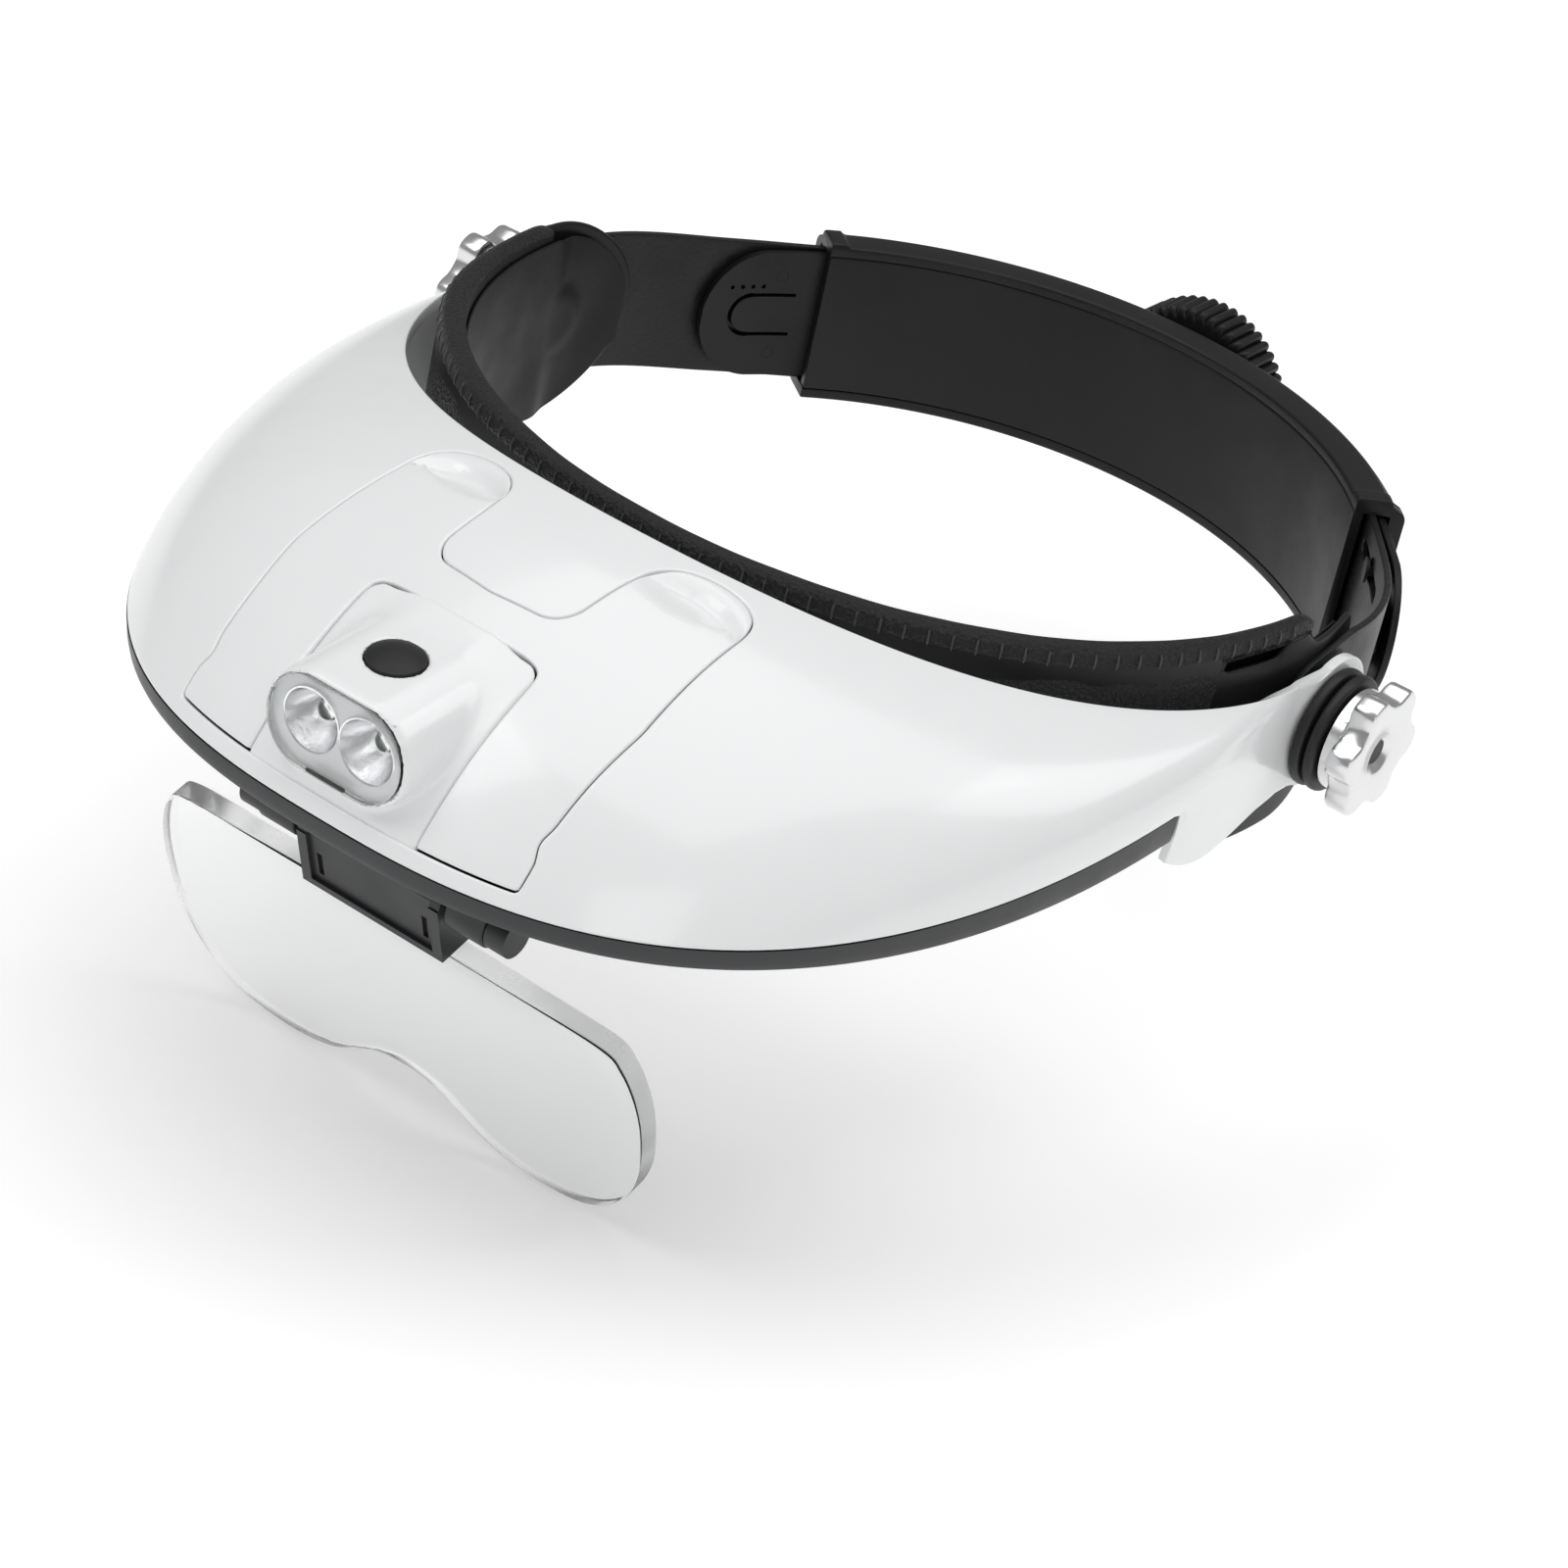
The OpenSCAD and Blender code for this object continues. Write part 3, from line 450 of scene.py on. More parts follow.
def iso(f, low, high, h):
    """Surface nets: a closed mesh of f = 0, with f negative inside, its points pulled onto the surface."""
    low, high = np.array(low, float), np.array(high, float)
    size = np.ceil((high - low) / h).astype(int) + 1
    axes = [low[k] + h * np.arange(size[k]) for k in range(3)]
    gx, gy, gz = np.meshgrid(*axes, indexing="ij")
    values = f(np.stack([gx, gy, gz], -1).reshape(-1, 3)).reshape(size)
    neg = values < 0
    cell = np.zeros(size - 1, int)
    corners = [(i, j, k) for i in (0, 1) for j in (0, 1) for k in (0, 1)]
    for i, j, k in corners:
        cell += neg[i:size[0] - 1 + i, j:size[1] - 1 + j, k:size[2] - 1 + k]
    active = (cell > 0) & (cell < 8)
    index = np.full(size - 1, -1)
    where = np.argwhere(active)
    index[active] = np.arange(len(where))
    total, count = np.zeros((len(where), 3)), np.zeros(len(where))
    for a in corners:
        for axis in range(3):
            if a[axis]:
                continue
            step = np.eye(3, dtype=int)[axis]
            va, vb = values[tuple((where + a).T)], values[tuple((where + a + step).T)]
            cross = (va < 0) != (vb < 0)
            t = np.where(cross, va / np.where(cross, va - vb, 1), 0)
            point = where + np.array(a) + t[:, None] * step
            total[cross] += point[cross]
            count[cross] += 1
    p = low + h * total / count[:, None]
    for _ in range(4):
        e = 0.02
        value = f(p)
        grad = np.stack([(f(p + e * np.eye(3)[k]) - f(p - e * np.eye(3)[k])) / (2 * e) for k in range(3)], 1)
        move = value[:, None] * grad / np.maximum((grad ** 2).sum(1), 0.05)[:, None]
        p = p - np.clip(move, -h / 2, h / 2)
    faces = []
    for axis in range(3):
        u, v = [k for k in range(3) if k != axis]
        a = neg[tuple(slice(0, -1) if k == axis else slice(None) for k in range(3))]
        b = neg[tuple(slice(1, None) if k == axis else slice(None) for k in range(3))]
        change = np.argwhere(a != b)
        change = change[((change > 0) & (change < size - 1))[:, [u, v]].all(1)]
        quad = []
        for du, dv in ((-1, -1), (0, -1), (0, 0), (-1, 0)):
            c = change.copy()
            c[:, u] += du
            c[:, v] += dv
            quad.append(index[tuple(c.T)])
        quad = np.stack(quad, 1)
        turned = a[tuple(change.T)] == (axis == 1)
        quad[turned] = quad[turned][:, ::-1]
        faces += quad.tolist()
    return oriented(p, faces)


def smooth_min(a, b, k):
    h = np.clip(0.5 + 0.5 * (b - a) / k, 0, 1)
    return b * (1 - h) + a * h - k * h * (1 - h)


def smooth_max(a, b, k):
    return -smooth_min(-a, -b, k)


def smooth(v):
    c = np.clip(v, 0, 1)
    return c * c * (3 - 2 * c)


# ---------------------------------------------------------------- visor surface (same curves as the CAD)
def sind(a):
    return np.sin(np.radians(a))


def cosd(a):
    return np.cos(np.radians(a))


def stack(*parts):
    return np.stack(np.broadcast_arrays(*parts), -1)


def unit(v):
    return v / np.linalg.norm(v, axis=-1, keepdims=True)


def edge_curve(half_w, y0, reach, square, rise, t):
    s = np.maximum(sind(t), 0) ** (2 / square)
    c = cosd(t)
    return stack(-half_w * np.sign(c) * np.abs(c) ** (2 / square), y0 - reach * s,
                 rise[0] + rise[1] * s + rise[2] * s * s + rise[3] * s ** 3)


def top_edge(t):
    return edge_curve(96.9, -12, 91, 1.94, (11.7, 8, -1.6, 12.7), t)


def rim_edge(t):
    return edge_curve(99.6, -16.5, 156, 2.64, (4.7, -20.6, 5.5, 3.7), t)


def lower_edge(t, w):
    """Lower edge of the visor; the wing's drop below the strip fades in over a wider arc further up."""
    k = np.minimum(1, np.minimum(t, 180 - t) / 7.4)
    wing = stack(np.where(t < 90, -97.6, 97.6), -14 - 36 * k, -11.9 - 4.6 * sind(180 * np.maximum(k, 0) ** 1.3))
    near = np.minimum(t, 180 - t)
    spread = 0.4 + 6 * (1 - np.clip(w, 0, 1))
    mix = smooth((near - 7.8 + spread) / (2 * spread))[..., None]
    return wing * (1 - mix) + rim_edge(t) * mix


def skin(t, w, low=None):
    t, w = np.asarray(t, float), np.asarray(w, float)
    a, c = top_edge(t), (lower_edge(t, w) if low is None else low)
    s = np.maximum(sind(t), 0)
    direction = unit(stack(-cosd(t), -0.7 * s, 0.35 + 0.5 * s))
    b = (a + c) / 2 + ((18.9 + 3.6 * s * s) * 1.1 * s ** 1.5 / (s + 0.1))[..., None] * direction
    w = w[..., None]
    return (1 - w) ** 2 * a + 2 * w * (1 - w) * b + w * w * c


U, V = 1.95, 80.0     # mm of sheet for one degree of t and for the whole of w


def skin_point(q):
    """Point of the visor for a sheet point q = (t * U, w * V); beyond the ends it runs on as the pivot plates."""
    u, w = q[:, 0], q[:, 1] / V
    t = u / U
    over = np.maximum(np.maximum(-u, u - 180 * U), 0)
    p = skin(np.clip(t, 0, 180), w)
    side = np.where(t < 90, -1, 1)
    flat = smooth(over / 7)
    p[:, 1] += over
    p[:, 0] = p[:, 0] * (1 - flat) + side * 97.8 * flat
    return p


def with_normals(point):
    def surface(q):
        e = 0.04
        p = point(q)
        du = point(q + [e, 0]) - point(q - [e, 0])
        dv = point(q + [0, e]) - point(q - [0, e])
        return p, unit(np.cross(dv, du))
    return surface


visor_surface = with_normals(skin_point)


def wall(t):
    return 1.6 + 0.8 * smooth(sind(np.clip(t, 0, 180)) / 0.5)


def sheet_wall(q):
    over = np.maximum(np.maximum(-q[:, 0], q[:, 0] - 180 * U), 0)
    return wall(q[:, 0] / U) + 0.4 * smooth(over / 7)


def plan_to_sheet(xy):
    """Sheet coordinates of points of the visor given by x and y seen from above (front part only)."""
    xy = np.asarray(xy, float)
    ts, ws = np.meshgrid(np.arange(40, 140.1, 1.0), np.linspace(-0.02, 1.02, 60), indexing="ij")
    grid = skin(ts.ravel(), ws.ravel())[:, :2]
    near = ((xy[:, None, :] - grid[None]) ** 2).sum(-1).argmin(1)
    t, w = ts.ravel()[near], ws.ravel()[near]
    for _ in range(12):
        p = skin(t, w)[:, :2]
        dt = (skin(t + 0.02, w)[:, :2] - p) / 0.02
        dw = (skin(t, w + 0.0005)[:, :2] - p) / 0.0005
        r = xy - p
        det = dt[:, 0] * dw[:, 1] - dt[:, 1] * dw[:, 0]
        t = t + (r[:, 0] * dw[:, 1] - r[:, 1] * dw[:, 0]) / det
        w = w + (dt[:, 0] * r[:, 1] - dt[:, 1] * r[:, 0]) / det
    return np.stack([t * U, w * V], 1)


def mirror_path(half):
    """A path drawn for x >= 0, continued with its mirror image back to the start."""
    half = np.asarray(half, float)
    return np.vstack([half, half[::-1] * [-1, 1]])


def offset_loop(loop, d):
    area = (loop[:, 0] * np.roll(loop[:, 1], -1) - loop[:, 1] * np.roll(loop[:, 0], -1)).sum()
    return loop + loop_normals(loop) * d * (1 if area > 0 else -1)


def rounded_path(points, radii, spacing):
    return resample(profile_round(points, radii, 8), spacing)


def seam_line(x):
    """y of the cover's lower seam at x."""
    t = np.arange(60, 120.1, 0.5)
    p = rim_edge(t)
    return float(np.interp(x, p[:, 0], p[:, 1] + 1.7))


cover_half = [(0, -134.3), (12.2, -133.2), (15, -129.5), (15.5, -117), (16.6, -109.6), (20.2, -105), (26, -102.8),
              (32, -103), (36.2, -105.8), (37.6, -110), (38.2, -122), (39.5, -139.6), (38.5, -150), (38, -158),
              (37.2, -160.5), (38.4, -162.4), (38.4, seam_line(38.4))]
cover_radii = [0, 4, 4, 9, 6, 5, 5, 5, 5, 4, 8, 1.5, 2, 0.5, 0.5, 0.5, 0.5]
seam_xs = np.arange(36, -36.1, -2.0)
cover_outline = rounded_path(
    cover_half + [(x, seam_line(x)) for x in seam_xs] + [(-x, y) for x, y in cover_half[::-1][:-1]],
    cover_radii + [0] * len(seam_xs) + cover_radii[::-1][:-1], 0.9)


def sheet_loop(plan):
    return resample(plan_to_sheet(plan), 0.8)


# white skin from pivot plate to pivot plate, with the cover's opening
def on_plate(yz):
    """Sheet coordinates of points (y, z) of the left pivot plate, whose sheet starts 14 mm in front of the pivot."""
    return np.stack([-14 - yz[:, 0], (11.7 - yz[:, 1]) / 23.6 * V], 1)


def mirrored(loop, side):
    return loop if side < 0 else loop * [-1, 1] + [180 * U, 0]


def plate_end(side):
    """The round plate at one end, from the sheet's top edge round to its lower edge."""
    ring = on_plate(arc(0, 0, 13, np.arange(112, -121, -6)))
    return mirrored(np.vstack([[(-0.6, -0.02 * V)], ring, [(-1.0, 1.0 * V)]]), side)


bottom_ts = np.concatenate([np.arange(0.5, 7.3, 0.45), [7.35, 7.5, 7.7, 7.9, 8.1, 8.25], np.arange(8.7, 171.3, 0.45),
                            [171.75, 171.9, 172.1, 172.3, 172.5, 172.65], np.arange(172.9, 179.6, 0.45)])
top_ts = np.arange(0.5, 179.6, 0.45)
left_end, right_end = plate_end(-1), plate_end(1)
shell_loop = np.vstack([
    np.stack([bottom_ts * U, np.full(len(bottom_ts), V)], 1), right_end[::-1],
    np.stack([top_ts[::-1] * U, np.zeros(len(top_ts))], 1), left_end])


def bolt_hole(side):
    return mirrored(on_plate(circle(0, 0, 2.6, 24)), side)


cover_loop = sheet_loop(cover_outline)
step_points = np.array([(t * U, w * V) for t in (7.4, 7.6, 7.8, 8.0, 8.2, 171.8, 172.0, 172.2, 172.4, 172.6)
                        for w in np.arange(0.93, 0.99, 0.02)])
make("visor_skin", *cut_sheet([shell_loop, cover_loop, bolt_hole(-1), bolt_hole(1)], visor_surface,
     sheet_wall, 1.7, 0.42, extra=step_points), "visor", white, "visor_shell")


# battery cover: ears, thumb hollows and a notch for the lamp panel
def ear_dent(p):
    x, y = np.abs(p[:, 0]) - 26.7, p[:, 1]
    wide = np.clip(1 - (np.abs(x) / 10.4) ** 2.6, 0, 1)
    back = -105.0 - 0.030 * x * x
    deep = back - 3.6 - 0.010 * x * x
    lip = -116.2 + 0.035 * x * x + 0.26 * x
    wall_part = smooth((back - y) / np.maximum(back - deep, 0.3))
    ramp = np.clip((y - lip) / np.maximum(deep - lip, 0.5), 0, 1)
    return 2.1 * wide ** 0.7 * np.where(y > deep, wall_part, ramp ** 0.9)


gap = 0.24


def cover_with_notch():
    loop = offset_loop(cover_outline, gap)
    low = (loop[:, 1] < np.array([seam_line(x) for x in loop[:, 0]]) + gap + 0.1) & (np.abs(loop[:, 0]) < 19.05)
    start = np.argmax(loop[:, 0] * low)
    loop = np.roll(loop, -start, axis=0)
    low = np.roll(low, -start)
    rest = loop[~low]
    if rest[0, 0] > 0:
        rest = rest[::-1]
    half = [(19.05, seam_line(19.05) + gap), (19.05, -145.4), (18.5, -142.3), (15.8, -141.55)]
    notch = profile_round(mirror_path(half), [0, 2, 2, 2, 2, 2, 2, 0], 5)
    return np.vstack([rest, resample(notch, 0.9, closed=False)])


make("battery_cover", *cut_sheet([sheet_loop(cover_with_notch())], visor_surface, sheet_wall, 1.1, 0.42,
     dent=ear_dent), "cover", white, "front_cover")


# ---------------------------------------------------------------- lamp panel and nose in one moulding
NOSE_Y, NOSE_Z, LED = -172.0, 8.8, 6.15      # middle of the nose's face, and each lamp's distance from it
PANEL_X, PANEL_Y = 18.8, -141.8             # half the panel's width, and its upper edge
BUTTON_Y, BUTTON_Z = -158.2, NOSE_Z + 9.8 + math.sin(math.radians(6)) * 13.8
tilt = math.radians(6)


def fit_height():
    """Height of the skin over x and y near the lamp, as a smooth polynomial."""
    t, w = np.meshgrid(np.arange(66, 114.1, 1.0), np.linspace(0.35, 1.03, 45), indexing="ij")
    p = skin(t.ravel(), w.ravel(), rim_edge(t.ravel()))
    p = p[(np.abs(p[:, 0]) < 27) & (p[:, 1] < -134)]
    terms = [(2 * i, j) for i in range(4) for j in range(9) if i + j < 10]
    x, y = p[:, 0] / 20, (p[:, 1] + 155) / 18
    k = np.linalg.lstsq(np.stack([x ** i * y ** j for i, j in terms], 1), p[:, 2], rcond=None)[0]

    def height(x, y):
        x, y = x / 20, (y + 155) / 18
        return sum(c * x ** i * y ** j for c, (i, j) in zip(k, terms))
    return height


skin_height = fit_height()


def nose_axes(p):
    """Coordinates of p in the nose: across, up and forward of its front face."""
    y, z = p[:, 1] - NOSE_Y, p[:, 2] - NOSE_Z
    return p[:, 0], z * math.cos(tilt) - y * math.sin(tilt), -p[:, 1] + NOSE_Y


def stadium_distance(p, r):
    x, up, _ = nose_axes(p)
    return np.hypot(np.maximum(np.abs(x) - LED, 0), up) - r


def slab_distance(p):
    """Signed distance, roughly, to the panel's slab under the skin."""
    x, y, z = p[:, 0], np.clip(p[:, 1], -175.5, -136), p[:, 2]
    h = skin_height(np.clip(x, -24, 24), y)
    slope = (skin_height(np.clip(x, -24, 24), y + 0.1) - skin_height(np.clip(x, -24, 24), y - 0.1)) / 0.2
    return (z - h) / np.sqrt(1 + slope ** 2)


def panel_plan(p):
    """Signed distance to the panel's outline in plan."""
    x, y = np.abs(p[:, 0]), p[:, 1]
    corner = 3.0
    dx, dy = x - (PANEL_X - corner), y - (PANEL_Y - corner)
    top = np.hypot(np.maximum(dx, 0), np.maximum(dy, 0)) + np.minimum(np.maximum(dx, dy), 0) - corner
    seam_y = np.interp(p[:, 0], seam_sample[0], seam_sample[1])
    return smooth_max(top, seam_y - y, 0.4)


seam_sample = (np.arange(-30, 30.1, 0.5), np.array([seam_line(x) + gap for x in np.arange(-30, 30.1, 0.5)]))


def lamp_solid(p):
    top = slab_distance(p)
    slab = smooth_max(smooth_max(top, -top - 2.3, 0.3), panel_plan(p), 0.9)
    nose = smooth_max(stadium_distance(p, 9.8), nose_axes(p)[2], 2.0)
    nose = np.maximum(nose, -top - 2.3)
    body = smooth_min(slab, nose, 2.6)
    bore = np.maximum(stadium_distance(p, 8.2), -(p[:, 1] + 146.5) - 40)
    bore = np.maximum(bore, p[:, 1] + 147)
    step = np.maximum(stadium_distance(p, 8.95), -nose_axes(p)[2] - 2.3)
    x, y, z = p.T
    along = (y - BUTTON_Y) * math.cos(tilt) + (z - BUTTON_Z) * math.sin(tilt)
    lift = -(y - BUTTON_Y) * math.sin(tilt) + (z - BUTTON_Z) * math.cos(tilt)
    button = np.maximum(np.hypot(x, along) - 5.62, -lift - 4.5)
    body = smooth_max(body, -np.minimum(bore, step), 0.35)
    return smooth_max(body, -button, 0.3)


make("lamp_moulding", *iso(lamp_solid, (-20.5, -173.5, -9), (20.5, -140, 25), 0.5), "visor", white,
     "lamp_housing", sharp=50)


def prism(outline, place, depth, bevel):
    """A closed prism with rounded edges; place maps (x, y, depth) rows to 3-D."""
    quarter = [(bevel * (1 - math.sin(a)), bevel * (1 - math.cos(a))) for a in (PI / 2 * k / 3 for k in range(4))]
    levels = quarter + [(i, depth - d) for i, d in quarter[::-1]]
    out = [place(np.column_stack([offset_loop(outline, i), np.full(len(outline), d)])) for i, d in levels]
    return oriented(*rings_mesh(out))


def stadium(r, steps=20):
    right = arc(LED, 0, r, np.linspace(-90, 90, steps))
    return np.vstack([right, -right])


def in_nose(q):
    """x, up in the nose's face, depth behind its front, to 3-D."""
    return np.column_stack([q[:, 0], NOSE_Y + q[:, 2], NOSE_Z + q[:, 1] + math.tan(tilt) * q[:, 2]])


make("lamp_window_clear", *prism(stadium(8.8), lambda q: in_nose(q + [0, 0, -0.35]), 2.0, 0.5), "visor",
     window_clear, "lamp_window")


def lamp(x, word):
    """A reflector cup and the domed lamp in it."""
    r, depth = 5.9, 7.6
    curve = [(r * math.sqrt(max(0.12, 1 - s)), depth * s) for s in np.linspace(0, 0.86, 14)]
    profile = [(r + 0.35, 0)] + curve + [(2.3, depth * 0.86), (2.3, depth * 0.98), (3.4, depth * 0.95)]
    profile += [(rr + 0.6, d + 0.15) for rr, d in curve[::-1]][1:-1]
    at = in_nose(np.array([[x, 0, 2.0]]))[0]
    make(f"reflector_cup_{word}", *spin(profile, at, (0, 1, math.tan(tilt)), steps=48), "visor", chrome,
         f"{word}_reflector", sharp=60)
    dome = [(0, 0)] + [(2.2 * math.sin(a), 2.4 - 2.4 * math.cos(a)) for a in np.radians(np.arange(12, 91, 13))]
    dome += [(2.2, 6.2), (0, 6.2)]
    at = in_nose(np.array([[x, 0, 4.6]]))[0]
    make(f"led_{word}", *spin(dome, at, (0, 1, math.tan(tilt)), steps=40), "visor", led_clear, f"{word}_led")


lamp(-LED, "left")
lamp(LED, "right")


def lamp_plate():
    """White plate just behind the window, with a round opening for each reflector cup."""
    def place(q):
        p = in_nose(np.column_stack([q, np.full(len(q), 2.05)]))
        return p, np.tile([0.0, -1.0, 0.0], (len(q), 1))
    loops = [resample(stadium(8.75, 24), 0.8)]
    loops += [circle(x, 0, 5.95, 40) for x in (-LED, LED)]
    return cut_sheet(loops, place, 1.0, 1.2, 0.2, 0.1)


make("lamp_plate", *lamp_plate(), "visor", white, "lamp_housing", swap=False)
make("lamp_slot", *prism(round_rect(8.8, 0.75, 0.35), lambda q: in_nose(
    np.column_stack([q[:, 0], q[:, 1] - 7.9, q[:, 2] - 0.45])), 0.5, 0.12), "visor", tray_grey,
     "lamp_housing", swap=False)

# domed button
button_profile = [(0, 0.0)] + [(5.38, 0.0), (5.4, 1.9), (5.28, 2.25)] + [
    (5.28 * math.sin(a), 2.25 + 1.0 * (math.cos(a) - math.cos(1.25)) / (1 - math.cos(1.25)))
    for a in np.linspace(1.25, 0, 12)[1:-1]] + [(0, 3.25)]
button_axis = np.array([0, -math.sin(tilt), math.cos(tilt)])
button_at = np.array([0, BUTTON_Y, BUTTON_Z]) - 1.9 * button_axis
make("button_cap", *spin(button_profile, button_at, button_axis, steps=56), "button", rubber, "power_button")


# ---------------------------------------------------------------- dark tray under the skin
def tray_ring(t, n):
    t = np.array([float(t)])
    rim = rim_edge(t)[0]
    inward = unit(np.array([-rim[0], 40 - rim[1], 0]))
    drop = 4.6 + 2.4 * abs(cosd(t[0])) ** 6
    near = min(t[0], 180 - t[0])
    w0 = 0.03 + 0.77 * max(0, (42 - near) / 32) ** 1.5
    ws = 1 - (1 - w0) * np.linspace(0, 1, n)
    tt = np.full(n, t[0])
    q = np.stack([tt * U, ws * V], 1)
    p, normal = visor_rim_surface(q)
    gap_in = wall(tt) + 0.3
    bay = 15 * smooth((near - 57) / 13) * smooth(ws / 0.06) * smooth((1 - ws) / 0.14)
    down = np.array([0, 0, -1.0])
    strip = [(0.0, 0.25), (0.02, 0.6), (0.4, drop * 0.6), (0.75, drop - 0.7), (1.1, drop - 0.15), (1.6, drop),
             (2.5, drop), (2.9, drop - 0.2), (3.1, drop - 0.7)]
    under = (bay + gap_in + 1.8)[:, None]
    return np.vstack([[rim + a * inward + b * down for a, b in strip], p - normal * under,
                      (p - normal * (bay + gap_in)[:, None])[::-1]])


def rim_point(q):
    return skin(q[:, 0] / U, q[:, 1] / V, rim_edge(q[:, 0] / U))


visor_rim_surface = with_normals(rim_point)


HINGE_Y, HINGE_Z = -151.5, -23.5


def boss(side):
    """One of the two arms that hold the hinge pin."""
    y, z, r = HINGE_Y, HINGE_Z, 4.2
    outline = resample(np.vstack([arc(y, z, r, np.arange(180, 361, 12)), [
        (y + 3.6, z + 4), (y + 3.6, -8.3), (y - 3.6, -8.3), (y - 3.6, z + 4)]]), 0.8)

    def place(q):
        return np.column_stack([side * (17.5 + q[:, 2]), q[:, 0], q[:, 1]])
    return prism(outline, place, 8.5, 0.4)


tray_ts = np.concatenate([[8.2, 8.6], np.arange(9.5, 170.6, 0.9), [171.4, 171.8]])
make("visor_lining", *merge([oriented(*rings_mesh([tray_ring(t, 26) for t in tray_ts])), boss(-1), boss(1)]),
     "visor", tray_grey, "visor_tray", sharp=40)


# ---------------------------------------------------------------- headband
def band_xy(a):
    a = np.asarray(a, float)
    k = 2 / 2.08
    flat_x = 90 * np.sqrt(1 - (sind(a) * 0.98) ** 2)
    c, s = cosd(a), np.maximum(sind(a), 0)
    front = stack(-90 * np.sign(c) * np.abs(c) ** k, -1.9 - 85.2 * s ** k)
    rear = stack(np.where(a < 90, -flat_x, flat_x), -1.9 - 72 * sind(a))
    return np.where(((a < 0) | (a > 180))[..., None], rear, front)


def band_out(a):
    d = band_xy(np.asarray(a) + 0.5) - band_xy(np.asarray(a) - 0.5)
    return unit(stack(d[..., 1], -d[..., 0]))


def band_point(a, d, z):
    p = band_xy(a) + np.asarray(d)[..., None] * band_out(a)
    return stack(p[..., 0], p[..., 1], z)


def band_rim(a):
    return 22.4 - 0.038 * band_xy(a)[..., 1]


def pad_t(a):
    return 0.6 + 2 * smooth((sind(a) - 0.15) / 0.4)


def waver(a, seed, amount):
    """A small, smooth, repeatable waviness along the band."""
    return amount * (np.sin(np.radians(a) * 7 + seed) + 0.6 * np.sin(np.radians(a) * 17 + 2.1 * seed)
                     + 0.3 * np.sin(np.radians(a) * 41 + 3.3 * seed)) / 1.9


def sweatband_ring(a):
    near = min(a, 180 - a)
    p = float(pad_t(a))
    d = p + 1.5
    z = float(band_rim(a)) + float(waver(a, 0.4, 0.12))
    skirt = 3.9 + 19.3 * float(smooth((near - 17.4) / 1.8))
    end = math.sqrt(1 - (1 - min(1.0, (near - 2) / 3.2 + 0.08)) ** 2)
    puff = 0.5 * end
    roll = [(0.0, -1.6), (0.05, -0.7), (0.35, -0.05), (0.9, 0.35), (1.6, 0.5)]
    roll += [(d - 0.5, 0.5), (d + 0.3, 0.3), (d + 0.75, -0.1), (d + 1.0, -0.8), (d + 1.1, -1.5)]
    welt = [(d + 1.12, -2.2), (d + 1.05, -2.8), (d + 0.8, -3.15), (d + 0.42, -3.4), (d + 0.66, -3.65)]
    outer = [(d + 0.95 + 0.2 * math.sin(PI * v) + float(waver(a + 30 * v, 1.7, 0.08)), -3.9 - (skirt - 3.9) * v)
             for v in np.linspace(0.04, 0.97, 10)]
    outer += [(d + 0.75, -skirt - 0.05), (d + 0.3, -skirt - 0.05), (d, -skirt + 0.2), (d, -min(skirt, 3) * 0.5)]
    h = 30
    pad = [(p, -1.2), (p, -h / 2), (p, 1.1 - h), (p * 0.85, 0.3 - h), (p * 0.5, -h), (p * 0.15, 0.3 - h),
           (0.0, 1.1 - h)]
    face = [(-puff * math.sin(PI * v) ** 0.7 + float(waver(a * 1.3 + 25 * v, 0.9, 0.1)), 1.5 - h + (h - 3.5) * v)
            for v in np.linspace(0.05, 0.95, 9)]
    q = np.array(roll + welt + outer + pad + face)
    q[:, 1] = np.where(q[:, 1] > -4, -1.7 + (q[:, 1] + 1.7) * (0.25 + 0.75 * end), q[:, 1])
    return band_point(np.full(len(q), float(a)), q[:, 0], z + q[:, 1])


band_half = np.concatenate([[2.0, 2.1, 2.3, 2.6], np.arange(3, 17.1, 0.6), np.arange(17.4, 19.4, 0.25),
                            np.arange(19.8, 89.9, 0.75)])
band_as = np.concatenate([band_half, 180 - band_half[::-1]])
sweat = make("sweatband_leather", *oriented(*rings_mesh([sweatband_ring(a) for a in band_as])), "harness", leather,
             "sweatband", sharp=70)
sweat.data.materials.append(lining)
ring_count = len(sweatband_ring(90.0))
for index, poly in enumerate(sweat.data.polygons):
    poly.material_index = 1 if ring_count - 17 <= index % ring_count else 0


def stitches():
    """Short raised threads down the welt at the band's upper edge."""
    parts = []
    sample = np.arange(3.4, 176.61, 0.05)
    path = band_point(sample, np.zeros(len(sample)), band_rim(sample))
    along = lengths(path)
    for s in np.arange(0.6, along[-1], 4.15):
        a = float(np.interp(s, along, sample))
        d = float(pad_t(a)) + 1.5
        q = np.array([(0.75, -0.3), (1.0, -0.75), (1.12, -1.3), (1.17, -1.9), (1.14, -2.5), (0.9, -3.05),
                      (0.4, -3.4)])
        height = float(band_rim(a)) + q[:, 1] + float(waver(a, 0.4, 0.12))
        centre = band_point(np.full(len(q), a), d + q[:, 0] + 0.02, height)
        before, after = (band_point(np.array([a + e]), np.array([d]), 0.0) for e in (-0.1, 0.1))
        tangent = unit(after - before)[0]
        rings = []
        for i, c in enumerate(centre):
            way = unit(centre[min(i + 1, 6)] - centre[max(i - 1, 0)])
            side = np.cross(way, tangent)
            r = 0.19 + 0.05 * math.sin(PI * i / 6)
            rings.append([c + tangent * r * math.cos(b) + side * r * math.sin(b)
                          for b in np.radians(np.arange(0, 360, 60))])
        parts.append(oriented(*rings_mesh(rings)))
    return merge(parts)


